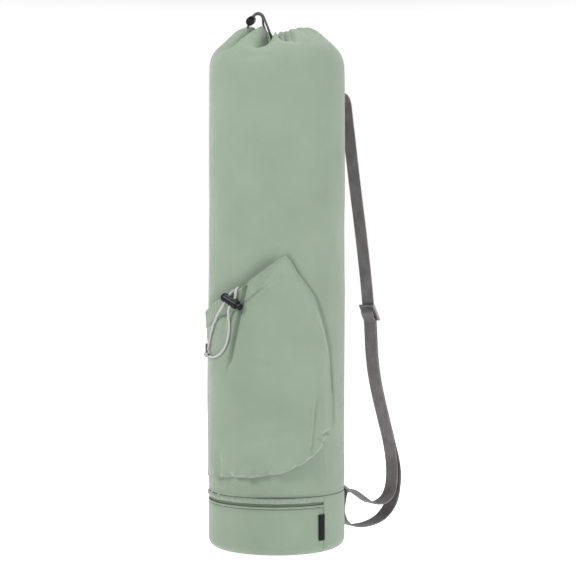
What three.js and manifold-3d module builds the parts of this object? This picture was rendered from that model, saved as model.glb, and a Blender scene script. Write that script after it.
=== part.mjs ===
// A drawstring mat bag standing upright: a cloth tube with a gathered mouth, a zipped base
// compartment, a slanted bottle pocket with an elastic cord and lock, and a webbing shoulder strap.
// Millimetres, +Z up, the front towards -Y. The origin is the middle of the flat base.
import * as THREE from "three";
import { mergeVertices } from "three/addons/utils/BufferGeometryUtils.js";
import Module from "manifold-3d";

const wasm = await Module();
wasm.setup();

// Driving dimensions, in mm, and azimuths in degrees: 0 is the front, 90 the right, 180 the back.
const CLOTH = 1.5; // the wall of the coated woven cloth, with its seam allowance pressed in
const SEAM_GAP = 0.4; // the line left between two sewn panels
const BODY_RADIUS = 90;
const SEAM_Z = 74; // the seam between the tube and the base compartment
const SHOULDER_Z = 608; // where the tube starts to draw in
const CROWN_Z = 690.5; // the ridge of the gathered mouth, at the back
const CROWN_DIP = 13.5; // how much lower the ridge is at the front
const MOUTH_RADIUS = 22; // the hole that the drawn cord leaves
const FOLD_DEPTH = 12;
const FOLD_FADE = 0.35; // the share of the crown's fall in which a fold dies out
const TUBE_COLUMNS = 64;

const BASE_ROUND = 11; // the rounded lower edge of the base compartment
const PANEL_FACET = 7.5; // the azimuth that one facet of a base panel covers
const DISC_SIDES = 48;
const ZIP_TOP_BAND = 7; // the welt above the zip, measured down from the seam
const ZIP_CHAIN = 3;
const ZIP_LOW_BAND = 2.6;
const ZIP_RECESS = 1.2;
const ZIP_START = -150; // the azimuth of the closed end, behind the left side
const ZIP_END = 42; // the azimuth of the upright seam at the right of the front

const TAG_HEIGHT = 33;
const TAG_WIDTH = 8;
const TAG_PLY = 0.8;
const TAG_BASE_Z = 18;

const POCKET_LEFT = -84; // the azimuth of the pocket's sewn left edge
const POCKET_RIGHT = 52;
const POCKET_BASE_Z = 90;
const POCKET_PEAK_Z = 381;
const POCKET_BELLY = 9.5; // how far the loose panel stands off the tube
const POCKET_HEM = 22; // the channel along the mouth that holds the elastic cord
const POCKET_HEM_RISE = 0.8;
const POCKET_ROLL = 15; // how quickly the slack panel rises from its seams
const POCKET_FOLD = 4;
const POCKET_COLUMNS = 24;
const POCKET_CROWDING = 1.25; // above 1, the columns stand closer towards the curved right edge
const CREASE_FADE = 0.12; // the share of the height in which a crease dies out at its ends
const SIDE_HEM = 0.1; // the share of the height that the hem rows take beside the mouth

const LOCK_LENGTH = 25; // the barrel of a cord lock
const LOCK_WIDTH = 12;
const LOCK_THICK = 10.4;
const LOCK_FLOOR = 1.6;
const BUTTON_DIAMETER = 7.2;
const BUTTON_GAP = 0.35; // the running gap between the button and its bore
const BUTTON_TRAVEL = 3;
const BUTTON_CAP = 2.6;
const BUTTON_INSET = 1; // how much narrower the button is than the barrel
const SEAT = 0.5; // how far one part of a plain piece goes into the next
const LOCK_ROUND = 10; // the steps of a quarter of the barrel's outline
const BUTTON_SIDES = 12;
const CORD_DIAMETER = 3;
const CORD_GAP = 0.5; // the gap between a strand and its slot
const STRAND_SPREAD = 9; // between the middles of a lock's two strands
const KNOT_WIDTH = 8.5;
const KNOT_LENGTH = 9.5;

const WEBBING_WIDTH = 25;
const WEBBING = 1.6;
const WEBBING_GAP = 0.4; // between two plies, and between a ply and the bar that it goes round
const STRAP_AZIMUTH = 125; // the upright plane that the strap bows out in
const STRAP_REACH = 95; // how far the bow stands off the tube
const STRAP_TOP_Z = 605.5;
const STRAP_SEWN_Z = 558; // the lower end of the webbing that is sewn flat to the tube
const STRAP_SEWN_TOP = 588;
const RING_WIRE = 3.6;
const RING_BEVEL = 1; // the cut corners of the ring's section
const RING_HEIGHT = 17.5; // between the middles of the two long bars
const RING_DROOP = 37; // how far the ring leans down from level
const TAB_REACH = 8; // from the tube to the middle of the ring's inner bar
const TAB_DROP = 1.5; // how far that bar hangs below the seam
const SLIDER_BAR = 3.2;
const SLIDER_PITCH = 10.5;
const SLIDER_TILT = 26;
const RAIL_WIDTH = 2.4;
const BAR_INSET = 0.02; // keeps a bar just inside the round ends of its rails
const BAR_SIDES = 8;
const SIDE_PLAY = 1; // the room at each side of the webbing in the ring and the slider

const ZIP_SLIDER_LENGTH = 12; // the zip's slider, along the zip
const ZIP_SLIDER_HEIGHT = 8;
const ZIP_SLIDER_THICK = 3;
const PULL_LENGTH = 24;
const PULL_HEIGHT = 5.5;
const PULL_THICK = 1.4;

const cloth = new THREE.MeshStandardMaterial({ color: 0x9cab98, roughness: 0.72, metalness: 0 });
const zipCloth = new THREE.MeshStandardMaterial({ color: 0x8a9c85, roughness: 0.7, metalness: 0 });
const coil = new THREE.MeshStandardMaterial({ color: 0x66785f, roughness: 0.5, metalness: 0 });
const webbing = new THREE.MeshStandardMaterial({ color: 0x7d7674, roughness: 0.85, metalness: 0 });
const greyPlastic = new THREE.MeshStandardMaterial({ color: 0x96918f, roughness: 0.4, metalness: 0 });
const blackPlastic = new THREE.MeshStandardMaterial({ color: 0x15141a, roughness: 0.45, metalness: 0 });
const cordWeave = new THREE.MeshStandardMaterial({ color: 0xa3a6a2, roughness: 0.8, metalness: 0 });
const tagWeave = new THREE.MeshStandardMaterial({ color: 0x131314, roughness: 0.8, metalness: 0 });
const zipMetal = new THREE.MeshStandardMaterial({ color: 0x83937d, roughness: 0.4, metalness: 0.3 });

const radians = THREE.MathUtils.degToRad;
const smooth = (value) => THREE.MathUtils.smoothstep(value, 0, 1);

function polar(azimuth, radius, z) {
  const a = radians(azimuth);
  return new THREE.Vector3(radius * Math.sin(a), -radius * Math.cos(a), z);
}

// A number read between the rows of a table, by one named column from another.
function between(table, key, at, wanted) {
  const last = table.length - 1;
  if (at <= table[0][key]) return table[0][wanted];
  if (at >= table[last][key]) return table[last][wanted];
  const i = table.findIndex((row) => row[key] >= at);
  const [a, b] = [table[i - 1], table[i]];
  return THREE.MathUtils.mapLinear(at, a[key], b[key], a[wanted], b[wanted]);
}

function evenSteps(from, to, count) {
  return Array.from({ length: count + 1 }, (_, i) => from + ((to - from) * i) / count);
}

function meshOf(name, geometry, material) {
  const mesh = new THREE.Mesh(geometry, material);
  mesh.name = name;
  return mesh;
}

function geometryFrom(vertices, triangles) {
  const geometry = new THREE.BufferGeometry();
  const numbers = vertices.flatMap((v) => v.toArray());
  geometry.setAttribute("position", new THREE.Float32BufferAttribute(numbers, 3));
  geometry.setIndex(triangles.flat());
  return geometry;
}

// A geometry as a solid, with the triangles that have shrunk to a line left out.
function solidFrom(geometry) {
  const bare = geometry.clone();
  bare.deleteAttribute("normal");
  bare.deleteAttribute("uv");
  const merged = mergeVertices(bare, 1e-4);
  const whole = [];
  for (let i = 0; i < merged.index.count; i += 3) {
    const [a, b, c] = [0, 1, 2].map((k) => merged.index.array[i + k]);
    if (a !== b && b !== c && a !== c) whole.push(a, b, c);
  }
  const mesh = new wasm.Mesh({
    numProp: 3,
    vertProperties: merged.attributes.position.array,
    triVerts: new Uint32Array(whole),
  });
  return new wasm.Manifold(mesh);
}

function geometryOf(solid) {
  const { vertProperties, triVerts, numProp, numVert } = solid.getMesh();
  const vertices = [];
  for (let i = 0; i < numVert; i += 1) {
    vertices.push(new THREE.Vector3().fromArray(vertProperties, i * numProp));
  }
  return geometryFrom(vertices, [Array.from(triVerts)]);
}

function cutFrom(geometry, ...tools) {
  const whole = tools.reduce((left, tool) => left.subtract(solidFrom(tool)), solidFrom(geometry));
  return geometryOf(whole);
}

// A sewn wall: a grid of points for its outer face, and the same grid set in along its normals.
// Columns run anticlockwise seen from above and rows run upwards, or inwards over the crown.
function clothWall(columns, rows, pointAt, closed, thicknessAt = () => CLOTH) {
  const outer = rows.map((row) => columns.map((column) => pointAt(column, row)));
  const [rowCount, columnCount] = [rows.length, columns.length];
  const columnIndex = (j) =>
    closed ? (j + columnCount) % columnCount : THREE.MathUtils.clamp(j, 0, columnCount - 1);
  const rowIndex = (i) => THREE.MathUtils.clamp(i, 0, rowCount - 1);
  const inner = outer.map((line, i) =>
    line.map((point, j) => {
      const along = line[columnIndex(j + 1)].clone().sub(line[columnIndex(j - 1)]);
      const up = outer[rowIndex(i + 1)][j].clone().sub(outer[rowIndex(i - 1)][j]);
      const inwards = up.cross(along).normalize();
      return point.clone().addScaledVector(inwards, thicknessAt(columns[j], rows[i]));
    }),
  );
  const vertices = [...outer.flat(), ...inner.flat()];
  const at = (face, i, j) => face * rowCount * columnCount + i * columnCount + columnIndex(j);
  const triangles = [];
  const quad = (a, b, c, d) => triangles.push([a, b, c], [a, c, d]);
  const lastColumn = closed ? columnCount : columnCount - 1;
  for (let j = 0; j < lastColumn; j += 1) {
    for (let i = 0; i < rowCount - 1; i += 1) {
      quad(at(0, i, j), at(0, i, j + 1), at(0, i + 1, j + 1), at(0, i + 1, j));
      quad(at(1, i, j), at(1, i + 1, j), at(1, i + 1, j + 1), at(1, i, j + 1));
    }
    const top = rowCount - 1;
    quad(at(1, 0, j), at(1, 0, j + 1), at(0, 0, j + 1), at(0, 0, j));
    quad(at(0, top, j), at(0, top, j + 1), at(1, top, j + 1), at(1, top, j));
  }
  if (!closed) {
    const right = columnCount - 1;
    for (let i = 0; i < rowCount - 1; i += 1) {
      quad(at(0, i, 0), at(0, i + 1, 0), at(1, i + 1, 0), at(1, i, 0));
      quad(at(0, i, right), at(1, i, right), at(1, i + 1, right), at(0, i + 1, right));
    }
  }
  return geometryFrom(vertices, triangles);
}

// A flat strip of webbing or woven tape that follows a line in its own plane, as wide as it says.
function strip(line, width, thickness) {
  const side = (sign) =>
    line.map((point, i) => {
      const before = line[Math.max(i - 1, 0)];
      const after = line[Math.min(i + 1, line.length - 1)];
      const along = after.clone().sub(before).normalize();
      return new THREE.Vector2(-along.y, along.x).multiplyScalar((sign * thickness) / 2).add(point);
    });
  const outline = new THREE.Shape([...side(1), ...side(-1).reverse()]);
  const geometry = new THREE.ExtrudeGeometry(outline, { depth: width, bevelEnabled: false });
  return geometry.translate(0, 0, -width / 2);
}

function smoothLine(points, count) {
  const curve = new THREE.CatmullRomCurve3(
    points.map((p) => new THREE.Vector3(p.x, p.y, 0)),
    false,
    "centripetal",
  );
  return curve.getSpacedPoints(count).map((p) => new THREE.Vector2(p.x, p.y));
}

function arc(centre, radius, from, to, count) {
  return evenSteps(from, to, count).map((angle) => {
    const a = radians(angle);
    return new THREE.Vector2(centre.x + radius * Math.cos(a), centre.y + radius * Math.sin(a));
  });
}

function cordTube(points, steps) {
  const section = new THREE.Shape(
    evenSteps(0, 360, 8)
      .slice(0, 8)
      .map((angle) => new THREE.Vector2(Math.cos(radians(angle)), Math.sin(radians(angle))))
      .map((p) => p.multiplyScalar(CORD_DIAMETER / 2)),
  );
  const extrudePath = new THREE.CatmullRomCurve3(points, false, "centripetal");
  return new THREE.ExtrudeGeometry(section, { steps, extrudePath, bevelEnabled: false });
}

// The tube. Its upright stretch is plain; the crown draws in over the ridge and down to the mouth.
// Each row gives the share of the way from the mouth's radius to the body's, the share of the
// crown's height, and how much of a fold's depth shows there. Row 0 is the shoulder.
const CROWN_PROFILE = [
  { out: 1.0, up: 0.0, fold: 0 },
  { out: 0.997, up: 0.2, fold: 0.02 },
  { out: 0.985, up: 0.37, fold: 0.08 },
  { out: 0.945, up: 0.49, fold: 0.18 },
  { out: 0.875, up: 0.59, fold: 0.34 },
  { out: 0.77, up: 0.69, fold: 0.55 },
  { out: 0.64, up: 0.81, fold: 0.78 },
  { out: 0.49, up: 0.925, fold: 0.96 },
  { out: 0.36, up: 0.985, fold: 1.0 },
  { out: 0.24, up: 1.0, fold: 0.95 },
  { out: 0.14, up: 0.95, fold: 0.75 },
  { out: 0.05, up: 0.85, fold: 0.5 },
  { out: 0.0, up: 0.7, fold: 0.3 },
];
const RIDGE_ROW = 9;
// One row a fold: its azimuth at the ridge, its half width there, its depth as a share of
// FOLD_DEPTH (below nothing where the cloth puffs up), how far it leans sideways on its way to the
// shoulder, and how far down the crown it reaches.
const FOLDS = [
  { azimuth: -57, width: 10, depth: -0.25, lean: -10, reach: 0.6 },
  { azimuth: -40, width: 6.5, depth: 0.85, lean: -19, reach: 0.8 },
  { azimuth: -28, width: 7, depth: -0.4, lean: -20, reach: 0.75 },
  { azimuth: -12, width: 8, depth: 1.05, lean: -7, reach: 0.68 },
  { azimuth: 8, width: 7, depth: 0.8, lean: 6, reach: 0.5 },
  { azimuth: 34, width: 10, depth: 0.2, lean: 8, reach: 0.4 },
  { azimuth: 68, width: 9, depth: 0.35, lean: 6, reach: 0.5 },
  { azimuth: 98, width: 8, depth: 0.75, lean: 5, reach: 0.9 },
  { azimuth: 126, width: 8, depth: 0.85, lean: -6, reach: 0.75 },
  { azimuth: 154, width: 8, depth: 0.8, lean: 4, reach: 1.0 },
  { azimuth: 184, width: 9, depth: 0.9, lean: -5, reach: 0.7 },
  { azimuth: 214, width: 8, depth: 0.75, lean: 6, reach: 0.95 },
  { azimuth: 243, width: 8, depth: 0.85, lean: -4, reach: 0.7 },
  { azimuth: 272, width: 8, depth: 0.5, lean: 6, reach: 0.85 },
  { azimuth: 296, width: 7, depth: 0.45, lean: -6, reach: 0.6 },
];
const UPRIGHT_SHARES = [0, 0.12, 0.34, 0.58, 0.82];
const TUBE_BASE_Z = SEAM_Z + SEAM_GAP / 2;

function foldDrop(azimuth, row) {
  const here = CROWN_PROFILE[row];
  const down = row < RIDGE_ROW ? 1 - here.fold : 0;
  return FOLDS.reduce((sum, fold) => {
    const centre = fold.azimuth + fold.lean * down;
    const turn = THREE.MathUtils.euclideanModulo(azimuth - centre + 180, 360) - 180;
    const fade = smooth((fold.reach - down) / FOLD_FADE);
    return sum + fold.depth * fade * Math.exp(-((turn / fold.width) ** 2));
  }, 0);
}

function crownSection(row, azimuth) {
  const share = CROWN_PROFILE[THREE.MathUtils.clamp(row, 0, CROWN_PROFILE.length - 1)];
  const facing = (1 + Math.cos(radians(azimuth))) / 2;
  const lift = CROWN_Z - SHOULDER_Z - CROWN_DIP * facing ** 2;
  const radius = MOUTH_RADIUS + share.out * (BODY_RADIUS - MOUTH_RADIUS);
  return new THREE.Vector2(radius, SHOULDER_Z + share.up * lift);
}

function crownPoint(azimuth, row) {
  const along = crownSection(row + 1, azimuth).sub(crownSection(row - 1, azimuth));
  const inwards = new THREE.Vector2(-along.y, along.x).normalize();
  const drop = FOLD_DEPTH * CROWN_PROFILE[row].fold * foldDrop(azimuth, row);
  const section = crownSection(row, azimuth).addScaledVector(inwards, drop);
  return polar(azimuth, section.x, section.y);
}

function mainTube() {
  const columns = evenSteps(0, 360, TUBE_COLUMNS).slice(0, TUBE_COLUMNS);
  const height = SHOULDER_Z - TUBE_BASE_Z;
  const upright = UPRIGHT_SHARES.map((share) => ({ z: TUBE_BASE_Z + share * height }));
  const crown = CROWN_PROFILE.map((_, row) => ({ row }));
  const pointAt = (azimuth, at) =>
    at.z === undefined ? crownPoint(azimuth, at.row) : polar(azimuth, BODY_RADIUS, at.z);
  return meshOf("main_tube", clothWall(columns, [...upright, ...crown], pointAt, true), cloth);
}

// The base compartment: a flat bottom, a front panel below the zip, a back panel up to the seam,
// the zip between them, and the floor that parts it from the tube.
const BASE_TOP_Z = SEAM_Z - SEAM_GAP / 2;
const TOP_WELT_Z = BASE_TOP_Z - ZIP_TOP_BAND;
const ZIP_CHAIN_TOP = TOP_WELT_Z - SEAM_GAP;
const LOW_WELT_TOP = ZIP_CHAIN_TOP - ZIP_CHAIN - SEAM_GAP;
const FRONT_PANEL_TOP = LOW_WELT_TOP - ZIP_LOW_BAND - SEAM_GAP;
const BOTTOM_RADIUS = BODY_RADIUS - BASE_ROUND - 2 * SEAM_GAP;
const HALF_SEAM_TURN = THREE.MathUtils.radToDeg(SEAM_GAP / BODY_RADIUS) / 2;
const ROUNDING = [0, 30, 60, 90];

function basePanel(name, from, to, top) {
  const low = SEAM_GAP + BASE_ROUND;
  const rounded = ROUNDING.map((angle) => ({
    radius: BODY_RADIUS - BASE_ROUND + BASE_ROUND * Math.sin(radians(angle)),
    z: low - BASE_ROUND * Math.cos(radians(angle)),
  }));
  const rows = [...rounded, { radius: BODY_RADIUS, z: top }];
  const pointAt = (azimuth, row) => polar(azimuth, row.radius, row.z);
  return meshOf(name, clothWall(facets(from, to), rows, pointAt, false), cloth);
}

function facets(from, to) {
  return evenSteps(from, to, Math.ceil((to - from) / PANEL_FACET));
}

function band(name, low, high, outer, material) {
  const columns = facets(ZIP_START + HALF_SEAM_TURN, ZIP_END - HALF_SEAM_TURN);
  const wall = clothWall(columns, [low, high], (azimuth, z) => polar(azimuth, outer, z), false);
  return meshOf(name, wall, material);
}

function clothDisc(name, radius, low) {
  const geometry = new THREE.CylinderGeometry(radius, radius, CLOTH, DISC_SIDES);
  return meshOf(name, geometry.rotateX(Math.PI / 2).translate(0, 0, low + CLOTH / 2), cloth);
}

function baseCompartment() {
  const group = new THREE.Group();
  const [left, right] = [ZIP_START + HALF_SEAM_TURN, ZIP_END - HALF_SEAM_TURN];
  const [backFrom, backTo] = [ZIP_END + HALF_SEAM_TURN, 360 + ZIP_START - HALF_SEAM_TURN];
  group.add(clothDisc("base_bottom", BOTTOM_RADIUS, 0));
  group.add(basePanel("base_front_panel", left, right, FRONT_PANEL_TOP));
  group.add(basePanel("base_back_panel", backFrom, backTo, BASE_TOP_Z));
  group.add(band("zip_top_welt", TOP_WELT_Z, BASE_TOP_Z, BODY_RADIUS, zipCloth));
  const chainLow = ZIP_CHAIN_TOP - ZIP_CHAIN;
  group.add(band("zip_chain", chainLow, ZIP_CHAIN_TOP, BODY_RADIUS - ZIP_RECESS, coil));
  group.add(band("zip_low_welt", LOW_WELT_TOP - ZIP_LOW_BAND, LOW_WELT_TOP, BODY_RADIUS, zipCloth));
  group.add(clothDisc("divider_floor", BODY_RADIUS - CLOTH - SEAM_GAP, TUBE_BASE_Z));
  group.add(zipSlider());
  return group;
}

// The zip's slider near the closed end, with its pull lying along the zip, as one plain piece.
function zipSlider() {
  const block = (length, height, thick, along, out) => {
    const box = new THREE.BoxGeometry(length, thick, height);
    return solidFrom(box.translate(along + length / 2, -out - thick / 2, 0));
  };
  const seat = SEAM_GAP + ZIP_RECESS;
  const body = block(ZIP_SLIDER_LENGTH, ZIP_SLIDER_HEIGHT, ZIP_SLIDER_THICK, 0, seat);
  const pullStart = ZIP_SLIDER_LENGTH / 2;
  const pull = block(PULL_LENGTH, PULL_HEIGHT, PULL_THICK, pullStart, seat + ZIP_SLIDER_THICK - SEAM_GAP);
  const mesh = meshOf("zip_slider", geometryOf(body.add(pull)), zipMetal);
  const turn = radians(ZIP_START + HALF_SEAM_TURN);
  mesh.rotation.z = turn;
  mesh.position.copy(polar(ZIP_START, BODY_RADIUS - ZIP_RECESS, ZIP_CHAIN_TOP - ZIP_CHAIN / 2));
  return mesh;
}

// A woven tag: a loop of tape, folded flat at the upright seam and sewn in by its two ends.
function wovenTag() {
  const first = SEAM_GAP + TAG_PLY / 2;
  const second = first + TAG_PLY + SEAM_GAP;
  const turn = arc(new THREE.Vector2(TAG_WIDTH, (first + second) / 2), (second - first) / 2, -90, 90, 4);
  const line = [new THREE.Vector2(0, first), ...turn, new THREE.Vector2(0, second)];
  const mesh = meshOf("woven_tag", strip(line, TAG_HEIGHT, TAG_PLY), tagWeave);
  const leftwards = polar(ZIP_END - 90, 1, 0);
  const outwards = polar(ZIP_END, 1, 0);
  const basis = new THREE.Matrix4().makeBasis(leftwards, outwards, new THREE.Vector3(0, 0, 1));
  mesh.setRotationFromMatrix(basis);
  mesh.position.copy(polar(ZIP_END, BODY_RADIUS, TAG_BASE_Z + TAG_HEIGHT / 2));
  return mesh;
}

// The bottle pocket: a slack panel sewn on at its left, its foot and its curved right side, open
// along a slanted mouth. Shares run across from the left seam and up from the foot to the peak.
const POCKET_TOP_EDGE = [
  { across: 0, up: 0.735 },
  { across: 0.103, up: 0.758 },
  { across: 0.234, up: 0.801 },
  { across: 0.392, up: 0.842 },
  { across: 0.465, up: 0.886 },
  { across: 0.642, up: 0.99 },
  { across: 0.671, up: 1 },
  { across: 0.7, up: 0.978 },
  { across: 0.741, up: 0.925 },
  { across: 0.806, up: 0.866 },
  { across: 0.854, up: 0.818 },
  { across: 0.899, up: 0.745 },
  { across: 0.932, up: 0.682 },
  { across: 0.968, up: 0.6 },
  { across: 0.986, up: 0.49 },
  { across: 1, up: 0.4 },
];
const POCKET_LOW_EDGE = [
  { across: 0, up: 0.01 },
  { across: 0.162, up: 0.022 },
  { across: 0.504, up: 0.038 },
  { across: 0.644, up: 0.055 },
  { across: 0.775, up: 0.094 },
  { across: 0.857, up: 0.132 },
  { across: 0.915, up: 0.161 },
  { across: 0.955, up: 0.192 },
  { across: 1, up: 0.25 },
];
// How far the panel stands off the tube, as a share of POCKET_BELLY.
const POCKET_SLACK = [
  { across: 0, full: 0.15 },
  { across: 0.08, full: 0.25 },
  { across: 0.19, full: 0.65 },
  { across: 0.4, full: 1 },
  { across: 0.65, full: 1 },
  { across: 0.83, full: 0.8 },
  { across: 1, full: 0.6 },
];
const POCKET_RISE = [
  { up: 0, full: 0.95 },
  { up: 0.1, full: 1 },
  { up: 0.45, full: 0.7 },
  { up: 0.8, full: 0.85 },
  { up: 1, full: 0.75 },
];
const POCKET_ROWS = [0, 0.03, 0.065, 0.12, 0.22, 0.36, 0.52, 0.66, 0.78, 0.88, 1];
const HEM_ROWS = [0.15, 0.6, 1];
// One row a crease: where it crosses the mouth, how far it drifts by the foot, its half width, all
// as shares of the panel's width, its depth as a share of POCKET_FOLD, and where it runs upwards.
const POCKET_FOLDS = [
  { across: 0.452, drift: -0.3, width: 0.022, depth: 1, from: 0.58, to: 1.1 },
  { across: 0.33, drift: -0.15, width: 0.022, depth: 0.5, from: 0.75, to: 1.1 },
  { across: 0.53, drift: 0.05, width: 0.035, depth: 0.35, from: 0.7, to: 1.1 },
  { across: 0.07, drift: 0, width: 0.05, depth: -1, from: 0.74, to: 1.1 },
  { across: 0.22, drift: 0.05, width: 0.03, depth: 0.55, from: -0.1, to: 0.2 },
  { across: 0.88, drift: -0.02, width: 0.035, depth: 0.5, from: -0.1, to: 0.45 },
];
const POCKET_SPAN = POCKET_RIGHT - POCKET_LEFT;
const POCKET_PEAK = POCKET_TOP_EDGE.find((row) => row.up === 1).across;
const MOUTH_CORNER = 0.23; // the share of the width over which the mouth closes at its peak

function pocketColumns() {
  return evenSteps(0, 1, POCKET_COLUMNS).map((t) => 1 - (1 - t) ** POCKET_CROWDING);
}

function pocketEdges(across) {
  const edge = (table) => {
    const up = between(table, "across", across, "up");
    return THREE.MathUtils.lerp(POCKET_BASE_Z, POCKET_PEAK_Z, up);
  };
  return { low: edge(POCKET_LOW_EDGE), top: edge(POCKET_TOP_EDGE) };
}

// One where the top of a column is the open mouth, falling to nothing where it is the right seam.
function mouthShare(across) {
  return smooth((POCKET_PEAK - across) / MOUTH_CORNER);
}

function pocketStandOff(across, z) {
  const { low, top } = pocketEdges(across);
  const width = radians(POCKET_SPAN) * BODY_RADIUS;
  const up = (z - low) / (top - low);
  const rise = (distance) => smooth(distance / (2 * POCKET_ROLL));
  const topFree = Math.max(mouthShare(across), rise(top - z));
  const seams = rise(across * width) * rise((1 - across) * width);
  const slack = between(POCKET_SLACK, "across", across, "full") * between(POCKET_RISE, "up", up, "full");
  const crease = POCKET_FOLDS.reduce((sum, fold) => {
    const centre = fold.across + fold.drift * (1 - up);
    const ends = smooth((up - fold.from) / CREASE_FADE) * smooth((fold.to - up) / CREASE_FADE);
    return sum + fold.depth * ends * Math.exp(-(((across - centre) / fold.width) ** 2));
  }, 0);
  const free = topFree * seams * smooth((z - low) / POCKET_ROLL);
  return free * Math.max(0, POCKET_BELLY * slack - POCKET_FOLD * crease);
}

function pocketPanel() {
  const below = POCKET_ROWS.map((share) => ({ share, hem: 0 }));
  const rows = [...below, ...HEM_ROWS.map((hem) => ({ share: 1, hem }))];
  const place = (across, row) => {
    const { low, top } = pocketEdges(across);
    const hem = THREE.MathUtils.lerp(SIDE_HEM * (top - low), POCKET_HEM, mouthShare(across));
    const z = low + row.share * (top - hem - low) + row.hem * hem;
    const raise = row.hem > 0 ? POCKET_HEM_RISE * mouthShare(across) : 0;
    return { z, raise };
  };
  const pointAt = (across, row) => {
    const { z, raise } = place(across, row);
    const radius = BODY_RADIUS + SEAM_GAP + CLOTH + pocketStandOff(across, z) + raise;
    return polar(POCKET_LEFT + across * POCKET_SPAN, radius, z);
  };
  const thickness = (across, row) => CLOTH + place(across, row).raise;
  return meshOf("pocket_panel", clothWall(pocketColumns(), rows, pointAt, false, thickness), cloth);
}

// A cord lock: an oval barrel with a bore for its sprung button and a cross slot for two strands.
// The button stands out by its travel. Along its own Z the barrel runs from its closed end, and the
// strands pass through along its own X.
const BORE = BUTTON_DIAMETER + 2 * BUTTON_GAP;
const SLOT_WIDTH = CORD_DIAMETER + 2 * CORD_GAP;
const SLOT_LENGTH = STRAND_SPREAD + CORD_DIAMETER + 2 * CORD_GAP;

function slotBox(length, centre) {
  return new THREE.BoxGeometry(2 * LOCK_WIDTH, SLOT_WIDTH, length).translate(0, 0, centre);
}

function cordLock(name, centre, { axis, strands }) {
  const way = new THREE.Vector3(...axis).normalize();
  const group = new THREE.Group();
  const oval = new THREE.Shape().absellipse(0, 0, LOCK_WIDTH / 2, LOCK_THICK / 2, 0, 2 * Math.PI, false, 0);
  const solid = { depth: LOCK_LENGTH, curveSegments: LOCK_ROUND, bevelEnabled: false };
  const barrel = new THREE.ExtrudeGeometry(oval, solid);
  barrel.translate(0, 0, -LOCK_LENGTH / 2);
  const rod = (diameter, from, to) =>
    new THREE.CylinderGeometry(diameter / 2, diameter / 2, to - from, BUTTON_SIDES)
      .rotateX(Math.PI / 2)
      .translate(0, 0, (from + to) / 2);
  const boreFloor = LOCK_FLOOR - LOCK_LENGTH / 2;
  const mouth = LOCK_LENGTH / 2;
  const shell = cutFrom(barrel, rod(BORE, boreFloor, mouth + SEAT), slotBox(SLOT_LENGTH, 0));
  group.add(meshOf(`${name}_barrel`, shell, blackPlastic));
  const out = BUTTON_TRAVEL + BUTTON_GAP;
  const capBase = mouth + out;
  const stem = rod(BUTTON_DIAMETER, boreFloor + out, capBase + SEAT);
  const cap = rod(LOCK_THICK - BUTTON_INSET, capBase, capBase + BUTTON_CAP);
  const slot = slotBox(SLOT_LENGTH + BUTTON_TRAVEL, BUTTON_TRAVEL / 2);
  const button = solidFrom(stem).add(solidFrom(cap)).subtract(solidFrom(slot));
  group.add(meshOf(`${name}_button`, geometryOf(button), blackPlastic));
  const side = way.clone().cross(new THREE.Vector3(...strands)).normalize();
  group.setRotationFromMatrix(new THREE.Matrix4().makeBasis(side.clone().cross(way), side, way));
  group.position.copy(centre);
  return group;
}

// The shoulder strap, drawn in its own upright plane: X runs out from the bag's axis and Y is up.
const PLY_STEP = WEBBING + WEBBING_GAP;
const BAR_WRAP = SLIDER_BAR / 2 + WEBBING_GAP + WEBBING / 2;
const RING_WRAP = RING_WIRE / 2 + WEBBING_GAP + WEBBING / 2;
const RING_INNER_BAR = new THREE.Vector2(BODY_RADIUS + TAB_REACH, SEAM_Z - TAB_DROP);
const RING_OUTER_BAR = new THREE.Vector2(RING_HEIGHT, 0)
  .rotateAround(new THREE.Vector2(), -radians(RING_DROOP))
  .add(RING_INNER_BAR);
// Places on the bow, as shares of the strap's reach and of its top's height.
const STRAP_TOP = [
  { out: 0.04, up: 0.985 },
  { out: 0.15, up: 1.0 },
  { out: 0.25, up: 0.985 },
  { out: 0.3, up: 0.94 },
  { out: 0.43, up: 0.8 },
  { out: 0.54, up: 0.69 },
  { out: 0.63, up: 0.59 },
];
const SLIDER_AT = { out: 0.705, up: 0.505 };
const STRAP_INNER = [
  { out: 0.722, up: 0.45 },
  { out: 0.742, up: 0.405 },
  { out: 0.79, up: 0.355 },
  { out: 0.87, up: 0.305 },
  { out: 0.965, up: 0.255 },
  { out: 1.06, up: 0.205 },
  { out: 1.12, up: 0.155 },
  { out: 1.12, up: 0.11 },
  { out: 1.05, up: 0.08 },
  { out: 0.9, up: 0.066 },
  { out: 0.72, up: 0.067 },
  { out: 0.54, up: 0.084 },
  { out: 0.375, up: 0.101 },
];
const PARTING = 6; // the row of STRAP_INNER at which the outer ply leaves the inner one
const STRAP_RETURN = [
  { out: 0.16, up: 0.075 },
  { out: 0.15, up: 0.057 },
  { out: 0.2, up: 0.037 },
  { out: 0.33, up: 0.022 },
  { out: 0.53, up: 0.018 },
  { out: 0.75, up: 0.022 },
  { out: 0.95, up: 0.035 },
  { out: 1.12, up: 0.065 },
  { out: 1.19, up: 0.11 },
  { out: 1.175, up: 0.155 },
];

function strapPlace({ out, up }) {
  return new THREE.Vector2(BODY_RADIUS + out * STRAP_REACH, up * STRAP_TOP_Z);
}

function sliderPlace(out, up) {
  const turned = new THREE.Vector2(out, up).rotateAround(new THREE.Vector2(), radians(SLIDER_TILT));
  return turned.add(strapPlace(SLIDER_AT));
}

// The angle at which a line that crosses between two bars leaves each round of webbing.
function crossing(firstRadius, secondRadius) {
  return THREE.MathUtils.radToDeg(Math.acos((firstRadius + secondRadius) / SLIDER_PITCH));
}

function inSlider(points) {
  return points.map((p) => sliderPlace(p.x, p.y));
}

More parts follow.
